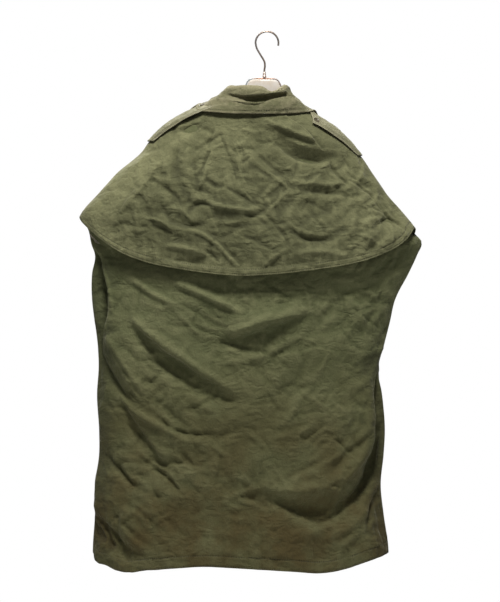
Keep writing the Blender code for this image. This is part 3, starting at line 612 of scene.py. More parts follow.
def nearLine(row, flatX, flatZ, reach):
    # The points near a row's curve: their distance from it, which side they are on and how far along they lie.
    a, m, b = (np.array((cornerX + row[k] * step, cornerZ - row[k + 1] * step)) for k in (0, 2, 4))
    bend = 2 * m - (a + b) / 2
    shares = np.linspace(0.0, 1.0, 15)
    line = np.outer((1 - shares) ** 2, a) + np.outer(2 * shares * (1 - shares), bend) + np.outer(shares**2, b)
    low, high = line.min(axis=0) - reach, line.max(axis=0) + reach
    near = np.flatnonzero((flatX > low[0]) & (flatX < high[0]) & (flatZ > low[1]) & (flatZ < high[1]))
    px, pz = flatX[near], flatZ[near]
    best, side, where = np.full(near.size, 1e9), np.zeros(near.size), np.zeros(near.size)
    for k in range(len(line) - 1):
        run = line[k + 1] - line[k]
        t = np.clip(((px - line[k, 0]) * run[0] + (pz - line[k, 1]) * run[1]) / (run @ run), 0.0, 1.0)
        dx, dz = px - line[k, 0] - t * run[0], pz - line[k, 1] - t * run[1]
        gap = np.hypot(dx, dz)
        closer = gap < best
        best = np.where(closer, gap, best)
        side = np.where(closer, (run[0] * dz - run[1] * dx) / (math.hypot(*run) * (gap + 1e-9)), side)
        where = np.where(closer, (k + t) / (len(line) - 1), where)
    return near, best, side, where


def creaseHeights(creases, slopes, x, z):
    flatX, flatZ = x.ravel(), z.ravel()
    total = np.zeros(flatX.size)
    for row in creases:
        above, below, height = np.array(row[6:9]) * 0.001
        near, best, side, where = nearLine(row, flatX, flatZ, 3.2 * max(above, below))
        wide = below + (above - below) * (0.5 + 0.5 * side)
        profile = np.exp(-1.9 * (np.sqrt((best / wide) ** 2 + 0.16) - 0.4))
        total[near] += creaseStrength * height * profile * (0.15 + 0.85 * np.sin(math.pi * where) ** 0.6)
    for row in slopes:
        half, fade, height = np.array(row[6:9]) * 0.001
        near, best, side, where = nearLine(row, flatX, flatZ, half + 4 * fade)
        across = side * best
        turned = np.clip(across / half, -1.0, 1.0) * np.exp(-np.maximum(best - half, 0.0) / fade)
        total[near] += height * turned * (0.1 + 0.9 * np.sin(math.pi * where) ** 0.7)
    return total.reshape(x.shape)


def swell(points, size, shift):
    scaled = points / size + shift
    return np.array([noise.noise(Vector(place)) for place in scaled.reshape(-1, 3)]).reshape(points.shape[:-1])


def turnedWith(points, degrees, stretch):
    # Places measured along and across a crease direction, drawn out along it.
    turn = math.radians(degrees)
    along = points[..., 0] * math.cos(turn) + points[..., 2] * math.sin(turn)
    across = points[..., 2] * math.cos(turn) - points[..., 0] * math.sin(turn)
    return np.stack([along / stretch, points[..., 1], across], axis=-1)


def crumple(points, size, shift):
    # Flat facets between sharp crests and sharp valleys, from -0.5 to 0.5.
    return np.abs((3.4 * swell(points, 1.7 * size, shift)) % 2 - 1) - 0.5


crumpled = {
    "large": 0.0034, "largeSize": 0.13, "bend": 0.007, "bendSize": 0.08, "calmSize": 0.15,
    "middle": 0.0040, "middleSize": 0.052, "second": 0.0030, "secondSize": 0.031, "small": 0.0011, "smallSize": 0.018,
    "slopeLeft": -38.0, "slopeRight": 33.0, "drawnOut": 2.6,
}


def crumpleLift(points, shift):
    bent = points.copy()
    bent[..., 0] += crumpled["bend"] * 2 * swell(points, crumpled["bendSize"], shift + 31.0)
    bent[..., 2] += crumpled["bend"] * 2 * swell(points, crumpled["bendSize"], shift + 37.0)
    falling = turnedWith(bent, crumpled["slopeLeft"], crumpled["drawnOut"])
    rising = turnedWith(bent, crumpled["slopeRight"], crumpled["drawnOut"])
    toRight = ease(0.5 + (points[..., 0] + 0.04) / 0.36 + 0.6 * swell(points, 0.14, shift + 41.0))
    middle = crumple(falling, crumpled["middleSize"], shift + 3.0) * (1 - toRight)
    middle = middle + crumple(rising, crumpled["middleSize"], shift + 5.0) * toRight
    second = crumple(falling, crumpled["secondSize"], shift + 9.0) * (1 - toRight)
    second = second + crumple(rising, crumpled["secondSize"], shift + 13.0) * toRight
    small = crumple(bent, crumpled["smallSize"], shift + 17.0)
    strength = np.clip(0.8 + 1.3 * swell(points, crumpled["calmSize"], shift + 7.0), 0.25, 1.5)
    fine = crumpled["middle"] * middle - crumpled["second"] * second + crumpled["small"] * small
    return crumpled["large"] * 2 * swell(points, crumpled["largeSize"], shift) + strength * fine


# ---- cloth shells ----


def gridNormals(points):
    return unit(np.cross(np.gradient(points, axis=1), np.gradient(points, axis=0)))


def smoothGrid(values, rounds):
    for _ in range(rounds):
        padded = np.pad(values, 1, mode="edge")
        values = (4 * values + padded[:-2, 1:-1] + padded[2:, 1:-1] + padded[1:-1, :-2] + padded[1:-1, 2:]) / 8
    return values


def clothShell(name, points, wall, material, wearAndShade, seam, sizes):
    # A grid operator's mesh carried onto the form, its thickness from a modifier. Rows run down, columns across.
    rows, columns = points.shape[:2]
    work = bmesh.new()
    bmesh.ops.create_grid(work, x_segments=columns - 1, y_segments=rows - 1, size=1.0)
    bmesh.ops.reverse_faces(work, faces=work.faces)
    flatMap = work.loops.layers.uv.new("flatCloth")
    wearShadeLayer, seamLayer = work.verts.layers.float.new("wearAndShade"), work.verts.layers.float.new("seam")
    work.verts.ensure_lookup_table()
    for vert in work.verts:
        column = round((vert.co.x + 1) / 2 * (columns - 1))
        row = round((1 - vert.co.y) / 2 * (rows - 1))
        vert.index = row * columns + column
        vert[wearShadeLayer], vert[seamLayer] = wearAndShade[row, column], seam[row, column]
        vert.co = Vector(points[row, column])
    across, down = np.linspace(0.0, sizes[0], columns), np.linspace(0.0, sizes[1], rows)
    for face in work.faces:
        for loop in face.loops:
            row, column = divmod(loop.vert.index, columns)
            loop[flatMap].uv = (across[column], down[row])
    piece = newPiece(name, work, material)
    thicken = piece.modifiers.new("clothWall", "SOLIDIFY")
    thicken.thickness, thicken.offset, thicken.use_quality_normals = wall, -1.0, True
    return piece


def denseEnds(count, hemRows, hem, crowding=1.0):
    # Rows down a panel: even above, then close together over the turned hem.
    above = np.linspace(0.0, 1.0, count) ** crowding
    return np.concatenate([above, 1.0 + np.linspace(0.0, 1.0, hemRows + 1)[1:]])


def stitchDent(distance, places, wide=0.0014):
    # A row of stitches pulls the cloth in along a line.
    return sum(np.exp(-(((distance - place) / wide) ** 2)) for place in places)


def rippleAlong(arc, seed):
    # Uneven little puckers along a seam.
    values = [noise.noise(Vector((a / 0.010, seed, 0.0))) + 0.8 * noise.noise(Vector((a / 0.024, seed, 4.0))) for a in arc]
    return np.array(values)


sewing = {
    "capeRowsUp": (0.0026, 0.0145), "coatRowsUp": (0.0026, 0.0262), "dent": 0.0008, "pucker": 0.0017,
    "stitchLong": 0.0024, "stitchPitch": 0.0034, "stitchThick": 0.00036, "edgeIn": 0.0045,
}


def finishPanel(panel, across, down, hem, seams, shift, creaseLift, places, crumpleShare):
    # Adds creases, crumple, the turned hem and its puckers to a panel's form.
    columns, rows = np.meshgrid(across, down)
    base = panel(columns, rows)
    normal = gridNormals(base)
    x, z = base[..., 0], base[..., 2]
    mirroredX = np.where(base[..., 1] < 0, x, front["mirrorLine"] - x)
    lift = creaseLift(base, x, z) + crumpleShare * crumpleLift(base, shift) * smoothed(places, mirroredX, z)
    above = (2.0 - rows) * hem                       # distance above the folded edge, inside the hem
    inHem = ease((rows - 1.0) / 0.10)
    arc = np.cumsum(np.r_[0.0, np.linalg.norm(np.diff(base[-1], axis=0), axis=1)])
    pucker = rippleAlong(arc, shift)[None, :] * np.exp(-np.maximum(above - hem, 0.0) / 0.006)
    lift = lift * (1 - 0.35 * inHem) + sewing["pucker"] * pucker
    lift += cloth["hemThicker"] * inHem - sewing["dent"] * stitchDent(above, seams) * (rows > 0.9)
    return base, normal, lift, arc


def sideFade(base, angleSine):
    return ease(np.abs(angleSine) / 0.16)


def ringSine(rows, base):
    left, right = readRows(rows, base[..., 2], 1), readRows(rows, base[..., 2], 2)
    share = np.clip((base[..., 0] - (left + right) / 2) / ((right - left) / 2), -1.0, 1.0)
    return np.sqrt(1 - share**2)


def coatCreaseLift(base, x, z):
    behind = base[..., 1] < 0
    mirroredX = front["mirrorLine"] - x
    lift = np.where(behind, creaseHeights(coatCreases, coatSlopes, x, z), 0.8 * creaseHeights(coatCreases, coatSlopes, mirroredX, z + 0.03) * offButtons(x, z))
    return lift * sideFade(base, ringSine(coatRows, base)) * ease((-0.45 - z) / 0.05)


def capeCreaseLift(base, x, z):
    behind = base[..., 1] < 0
    lift = np.where(behind, creaseHeights(capeCreases, capeSlopes, x, z), 0.8 * creaseHeights(capeCreases, capeSlopes, front["mirrorLine"] - x, z + 0.02))
    return lift * ease((ringSine(capeRows, base) - 0.06) / 0.36) * ease((-0.190 - z) / 0.02)


def wearAndShadeFrom(lift, base, edges):
    # Ridges come out paler, as wear and as a painted highlight, and hollows darker, as painted shade in the creases;
    # the edge marks given are added to it.
    ridge = np.clip((lift - smoothGrid(lift, 14)) / 0.0011, -1.0, 1.0)
    return np.clip(0.42 * ridge + edges, -1.0, 1.0)


def makeCoat(material):
    panels = {}
    wall = cloth["wall"]
    seams = sewing["coatRowsUp"]
    for name, node, panel, count, shift, sizes in (
        ("coatBack", "back", backPanel, 204, 0.0, (0.92, 1.12)),
        ("coatFrontLeft", "front_left", frontLeftPanel, 84, 20.0, (0.50, 1.12)),
        ("coatFrontRight", "front_right", frontRightPanel, 84, 40.0, (0.50, 1.12)),
    ):
        down = denseEnds(218 if node == "back" else 170, 13, cloth["coatHem"], 1.12)
        across = np.linspace(0.0, 1.0, count)
        base, normal, lift, arc = finishPanel(panel, across, down, cloth["coatHem"], seams, shift, coatCreaseLift, coatSmooth, 1.25)
        x, z = base[..., 0], base[..., 2]
        sine = ringSine(coatRows, base)
        calm = ease(sine / 0.2) * (0.25 + 0.75 * ease((-0.30 - z) / 0.15))
        if node != "back":
            calm = calm * (0.1 + 0.9 * offButtons(x, z))
        lift = lift * calm
        edgeDistance = (2.0 - down[:, None]) * cloth["coatHem"] + 0 * lift
        # Painted shade darkens the coat's flanks low down, where they turn away; the hem's edge comes out paler from
        # wear.
        flank = ease((np.where(x < 0, -0.52, -0.74) - z) / 0.05)
        edges = 0.8 * np.exp(-edgeDistance / 0.0025) - flank * (1 - ease((sine - 0.22) / 0.45))
        points = base + normal * lift[..., None]
        seam = stitchDent(edgeDistance, seams, 0.0018)
        piece = clothShell(name, points, wall, material, wearAndShadeFrom(lift, base, edges), seam, sizes)
        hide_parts(node)
        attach(piece, "root")
        panels[node] = {"piece": piece, "points": points, "normals": gridNormals(points), "down": down, "across": across}
        print(name, piece.data.polygons[0].normal[:], len(piece.data.polygons))
    return panels


def makeCape(material):
    even = np.linspace(0.0, 1.0, 436)
    across = np.interp(even, (0.0, 0.17, 0.83, 1.0), (0.0, 0.22, 0.78, 1.0))
    down = denseEnds(97, 12, cloth["capeHem"], 1.08)
    base, normal, lift, arc = finishPanel(capePanel, across, down, cloth["capeHem"], sewing["capeRowsUp"], 60.0, capeCreaseLift, capeSmooth, 1.05)
    x, z = base[..., 0], base[..., 2]
    sine = ringSine(capeRows, base)
    paleBand = (x < -0.1) * ease((-0.235 - z) / 0.03) * (1 - ease((x - readRows(capeRows, z, 1) - 0.064) / 0.045))
    calm = ease((sine - 0.04) / 0.42) * ease((-0.178 - z) / 0.03) * (1 - 0.5 * paleBand)
    lift = lift * calm
    # It stays off the coat beneath and under the straps.
    room = readRows(capeRows, z, 3) - readRows(coatRows, z, 3) - 0.0052
    lift = np.maximum(lift, -np.maximum(room, 0.0))
    angle, height = capePlace(*np.meshgrid(across, down))
    for strap, tip in ((strapLeft, math.pi), (strapRight, 0.0)):
        turned = np.abs((angle - tip + math.pi) % (2 * math.pi) - math.pi)
        reach = (straps["halfWidth"] + abs(strap["shift"]) + 0.006) / (1.15 * readRows(capeRows, z, 3))
        below = ease((reach - turned) / 0.06 + 0.5) * (z < strap["inner"] + 0.012) * (z > strap["outer"] - 0.012)
        lift = np.where(below > 0, np.minimum(lift, 0.0006 + 0.02 * (1 - below)), lift)
    edgeDistance = (2.0 - down[:, None]) * cloth["capeHem"] + 0 * lift
    edges = 0.9 * np.exp(-edgeDistance / 0.003) + 0.4 * ease((0.020 - edgeDistance) / 0.004)
    # The pale band at the left tip, and painted light on the cape's lower right side.
    edges = edges + 0.75 * paleBand + (x > 0.1) * 0.4 * (1 - ease((sine - 0.2) / 0.25)) * ease((-0.40 - z) / 0.05)
    # Painted shade darkens the middle of the cape's back.
    edges = edges - 0.3 * ease((sine - 0.7) / 0.2) * ease((-0.25 - z) / 0.1)
    points = base + normal * lift[..., None]
    seam = stitchDent(edgeDistance, sewing["capeRowsUp"], 0.0018)
    piece = clothShell("capeShell", points, cloth["wall"], material, wearAndShadeFrom(lift, base, edges), seam, (1.95, 0.44))
    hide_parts("cape")
    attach(piece, "root")
    return {"piece": piece, "points": points, "normals": gridNormals(points), "down": down, "across": across}


# ---- collar ----

# degrees, top of the stand, lean, cape height under the edge, stand-off, lower roll, hollow, sag, upper band's foot
collarRows = (
    (-84, -0.158, 0.000, -0.238, 0.0070, -0.170, 0.0, -0.003, -0.165),
    (-62, -0.150, 0.000, -0.248, 0.0070, -0.165, 0.0, -0.003, -0.158),
    (-35, -0.138, 0.000, -0.222, 0.0075, -0.150, 0.0, 0.004, -0.147),
    (0, -0.131, 0.000, -0.195, 0.0080, -0.136, 0.0, 0.006, -0.140),
    (28, -0.131, 0.000, -0.196, 0.0090, -0.136, 0.0, 0.004, -0.140),
    (38, -0.136, 0.000, -0.198, 0.0080, -0.148, 0.7, 0.003, -0.142),
    (48, -0.142, 0.000, -0.200, 0.0085, -0.164, 1.0, 0.002, -0.1450),
    (62, -0.1445, 0.000, -0.202, 0.0090, -0.172, 1.0, -0.003, -0.1485),
    (77, -0.134, 0.000, -0.203, 0.0100, -0.1725, 1.0, -0.003, -0.1525),
    (100, -0.130, 0.000, -0.202, 0.0100, -0.168, 0.85, -0.003, -0.157),
    (122, -0.1295, -0.002, -0.198, 0.0095, -0.162, 0.45, -0.001, -0.158),
    (137, -0.129, -0.003, -0.195, 0.0090, -0.160, 0.15, 0.0, -0.1575),
    (158, -0.130, -0.008, -0.187, 0.0085, -0.156, 0.05, 0.003, -0.152),
    (180, -0.133, -0.012, -0.180, 0.0085, -0.152, 0.0, 0.0065, -0.148),
    (215, -0.138, -0.006, -0.210, 0.0085, -0.156, 0.0, 0.003, -0.150),
    (242, -0.150, 0.000, -0.248, 0.0070, -0.165, 0.0, -0.003, -0.158),
    (264, -0.158, 0.000, -0.238, 0.0070, -0.170, 0.0, -0.003, -0.165),
)
collar = {
    "wall": 0.0022, "aboveNeck": 0.0005, "insideSeam": 0.0022, "roll": 0.0042, "fallShares": (0.08, 0.16, 0.25, 0.34, 0.5, 0.66, 0.83, 1.0),
    "aboveCape": 0.0045, "edgeCloser": 0.004, "bulge": 0.0075, "hollowDepth": 0.008, "lowerRollOut": 0.012, "columns": 190, "rows": 84,
}


def throughPoints(points, count):
    keys = np.arange(len(points), dtype=float)
    rows = np.column_stack([keys, points])
    where = np.linspace(0.0, keys[-1], count)
    return np.stack([readRows(rows, where, c) for c in range(1, rows.shape[1])], axis=-1)


def collarProfile(degrees, count):
    # From the neck seam up the stand, over the roll and down the fall.
    angle = math.radians(degrees)
    top, lean, under, standOff, lowerRoll, hollow, sag, bandFoot = (float(readRows(collarRows, degrees, c)) for c in range(1, 9))
    foot = float(neckline(np.array(angle))) + collar["aboveNeck"]
    outward = ringNormal(capeRows, np.array(angle), np.array(cloth["neckHeight"] - 0.001))
    outward = unit(np.array([outward[0], outward[1], 0.0]))
    seam = ringPlace(capeRows, np.array(angle), np.array(foot)) - outward * collar["insideSeam"]
    edge = ringPlace(capeRows, np.array(angle), np.array(under))
    edge = edge + ringNormal(capeRows, np.array(angle), np.array(under)) * standOff
    edgeOut, edgeUp = float(np.dot(edge - seam, outward)), edge[2]
    roll = collar["roll"]
    over = (lean + 2 * roll, top - roll)
    plain = [
        (0.0, foot), (0.4 * lean, foot + 0.45 * (top - foot)), (0.9 * lean - 0.0004, top - 1.9 * roll),
        (lean + 0.0008, top - 0.5 * roll), (lean + roll, top), over,
    ]
    fall = []
    for share in collar["fallShares"]:
        bowed = sag * math.sin(math.pi * share**0.65)
        fall.append((over[0] + (edgeOut - over[0]) * share - 0.5 * bowed, over[1] + (edgeUp - over[1]) * share - bowed))
    rollOut = lean + 2 * roll + collar["lowerRollOut"]
    heights = np.linspace(-0.2, cloth["neckHeight"], 40)
    capeOut = (ringPlace(capeRows, angle + 0 * heights, heights) - seam) @ outward
    capeHere = float(np.interp(over[0], capeOut[::-1], heights[::-1]))
    sunkFoot = max(lowerRoll - collar["hollowDepth"], capeHere + collar["aboveCape"])
    lowerRoll = max(lowerRoll, sunkFoot + 0.002)
    bulge = collar["bulge"] * max(math.sin(angle), 0.0) ** 2
    sunk = [
        (over[0] + 0.8 * bulge, (over[1] + bandFoot) / 2 + 0.001), (over[0] + bulge, bandFoot), (over[0] - 0.0050, bandFoot - 0.0035),
        (over[0] - 0.0046, sunkFoot + 0.002), (rollOut - 0.0045, sunkFoot), (rollOut + 0.0010, lowerRoll + 0.001),
        ((rollOut + edgeOut) / 2 + 0.005, (lowerRoll + edgeUp) / 2 + 0.005), (edgeOut, edgeUp),
    ]
    mixed = [(a[0] + (b[0] - a[0]) * hollow, a[1] + (b[1] - a[1]) * hollow) for a, b in zip(fall, sunk)]
    curve = throughPoints(np.array(plain + mixed), count)
    points = seam[None, :] * np.array([1.0, 1.0, 0.0]) + outward[None, :] * curve[:, :1]
    points[:, 2] = curve[:, 1]
    shift = (edge - seam) - outward * edgeOut
    shift[2] = 0.0
    return points + shift[None, :] * np.linspace(0.0, 1.0, count)[:, None] ** 2


def makeCollar(material):
    degrees = np.interp(np.linspace(0, 1, collar["columns"]), (0, 0.22, 0.80, 1), (-83, 20, 180, 263))
    points = np.stack([collarProfile(d, collar["rows"]) for d in degrees], axis=1)
    normal = gridNormals(points)
    half = collar["wall"] / 2
    lift = 0.6 * crumpleLift(points, 80.0)
    share = np.linspace(0.0, 1.0, collar["rows"])[:, None] + 0 * lift
    outer = points[-1]
    toEdge = np.linalg.norm(points - outer[None], axis=-1)
    arc = np.cumsum(np.r_[0.0, np.linalg.norm(np.diff(outer, axis=0), axis=1)])
    ripple = rippleAlong(arc, 80.0)[None, :]
    lift = lift * ease((1 - share) / 0.1) * ease(share / 0.1)
    lift = lift + 0.0007 * ripple * np.exp(-toEdge / 0.014) * (share > 0.5)
    lift = lift - 0.0006 * stitchDent(toEdge, (0.0065,), 0.0016) * (share > 0.5)
    lift = lift + 0.0006 * np.exp(-toEdge / 0.004) * (share > 0.5)
    behind = ease(np.sin(np.radians(degrees)) / 0.5)[None, :]
    lift = lift - collar["edgeCloser"] * ease((share - 0.75) / 0.25) * behind
    points = points + normal * (half + lift)[..., None]
    # The fall's edge and the stand with the roll's top come out paler.
    edges = 0.9 * np.exp(-toEdge / 0.0022) * (share > 0.5) + 0.8 * ease((0.47 - share) / 0.1)
    seam = stitchDent(toEdge, (0.0065,), 0.0018) * (share > 0.5)
    piece = clothShell("collarFold", points, collar["wall"], material, wearAndShadeFrom(lift, points, edges), seam, (0.62, 0.10))
    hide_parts("collar")
    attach(piece, "root")
    return {"piece": piece, "points": points, "normals": gridNormals(points)}


# ---- shoulder straps ----

straps = {"halfWidth": 0.0305, "wall": 0.002, "standOff": 0.0009, "rearLift": 0.0040, "tipStretch": 1.15, "long": 64, "wide": 26}
strapLeft = {"inner": -0.1735, "outer": -0.264, "shift": 0.043, "turn": -0.039, "slant": 0.10}
strapRight = {"inner": -0.1875, "outer": -0.298, "shift": 0.050, "turn": -0.052, "slant": 0.32}


def strapFace(strap, tip, alongShare, acrossShare):
    alongShare = alongShare + strap["slant"] * (1 - alongShare) * (acrossShare + 1) / 2
    z = strap["inner"] + (strap["outer"] - strap["inner"]) * alongShare
    side = 1.0 if tip == 0.0 else -1.0
    distance = strap["shift"] + strap["turn"] * alongShare + straps["halfWidth"] * acrossShare
    angle = tip + side * distance / (straps["tipStretch"] * readRows(capeRows, z, 3))
    normal = ringNormal(capeRows, angle, z)
    ends = np.sin(math.pi * np.clip(0.08 + alongShare, 0.0, 1.0))
    lift = straps["standOff"] + straps["rearLift"] * ease(acrossShare) * ends
    return capeFace(angle, z) + normal * lift[..., None], normal


def makeStrap(name, node, strap, tip, material):
    shares = np.linspace(0.0, 1.0, straps["long"])
    across = np.sin(np.linspace(-math.pi / 2, math.pi / 2, straps["wide"]))
    alongGrid, acrossGrid = np.meshgrid(shares, across, indexing="ij")
    under, normal = strapFace(strap, tip, alongGrid, acrossGrid)
    side = (1 - np.abs(acrossGrid)) * straps["halfWidth"]
    lift = straps["wall"] - 0.00045 * stitchDent(side, (0.0030, 0.0085), 0.0015)
    lift = lift + 0.0007 * crumple(under, 0.016, 90.0)
    points = under + normal * lift[..., None]
    if tip == 0.0:
        points = points[:, ::-1]
        side = side[:, ::-1]
    edges = 0.9 * np.exp(-side / 0.0022) + 0.7 * np.exp(-alongGrid / 0.06)
    seam = stitchDent(side, (0.0030, 0.0085), 0.0016)
    if tip == 0.0:
        points, edges = points[:, ::-1][::-1], edges[::-1]
    piece = clothShell(name, points, straps["wall"] - 0.0001, material, np.clip(edges, -1, 1), seam, (0.056, 0.15))
    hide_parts(node)
    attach(piece, "root")
    return {"piece": piece, "points": points, "normals": gridNormals(points)}


# ---- sewing: rows of small raised stitches ----


def pathOn(panel, rows, columns):
    # Places on a finished panel at fractional rows and columns.
    points, normals = panel["points"], panel["normals"]
    rows, columns = np.broadcast_arrays(np.asarray(rows, float), np.asarray(columns, float))
    r, c = np.clip(rows.astype(int), 0, points.shape[0] - 2), np.clip(columns.astype(int), 0, points.shape[1] - 2)
    u, v = (rows - r)[:, None], (columns - c)[:, None]

    def blend(grid):
        upper = grid[r, c] * (1 - v) + grid[r, c + 1] * v
        lower = grid[r + 1, c] * (1 - v) + grid[r + 1, c + 1] * v
        return upper * (1 - u) + lower * u

    return blend(points), unit(blend(normals))


def makeStitches(name, paths, material):
    # One stitch from the sphere operator, repeated along each path.
    work = bmesh.new()
    bmesh.ops.create_icosphere(work, subdivisions=1, radius=1.0)
    work.verts.ensure_lookup_table()
    shape = np.array([vert.co[:] for vert in work.verts])
    shape *= (sewing["stitchLong"] / 2, sewing["stitchThick"] * 1.25, sewing["stitchThick"])
    faces = np.array([[vert.index for vert in face.verts] for face in work.faces])
    work.free()
    allPoints, allFaces, count = [], [], 0
    for places, normals in paths:
        arc = np.r_[0.0, np.cumsum(np.linalg.norm(np.diff(places, axis=0), axis=1))]
        at = np.arange(sewing["stitchPitch"] / 2, arc[-1], sewing["stitchPitch"])
        middle = np.stack([np.interp(at, arc, places[:, k]) for k in range(3)], axis=-1)
        ahead = np.stack([np.interp(at + 0.001, arc, places[:, k]) for k in range(3)], axis=-1)
        behind = np.stack([np.interp(at - 0.001, arc, places[:, k]) for k in range(3)], axis=-1)
        outward = unit(np.stack([np.interp(at, arc, normals[:, k]) for k in range(3)], axis=-1))
        forward = unit(ahead - behind)
        aside = unit(np.cross(outward, forward))
        basis = np.stack([forward, aside, outward], axis=1)
        middle = middle + outward * sewing["stitchThick"] * 0.5
        allPoints.append((middle[:, None, :] + np.einsum("vk,skd->svd", shape, basis)).reshape(-1, 3))
        allFaces.append((faces[None] + (count + np.arange(len(at)) * len(shape))[:, None, None]).reshape(-1, 3))
        count += len(at) * len(shape)
    mesh = bpy.data.meshes.new(name)
    mesh.from_pydata(np.concatenate(allPoints).tolist(), [], np.concatenate(allFaces).tolist())
    mesh.shade_smooth()
    mesh.materials.append(material)
    piece = bpy.data.objects.new(name, mesh)
    bpy.context.collection.objects.link(piece)
    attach(piece, "root")
    return piece


def rowAbove(panel, hem, distance):
    # The fractional row that lies a distance above the folded edge.
    return float(np.interp(2.0 - distance / hem, panel["down"], np.arange(len(panel["down"]))))


def allColumns(panel, inset=1.0):
    last = panel["points"].shape[1] - 1
    return np.linspace(inset, last - inset, last * 2)


def allRows(panel, inset=1.0):
    last = panel["points"].shape[0] - 1
    return np.linspace(inset, last - inset, last * 2)


# ---- materials ----


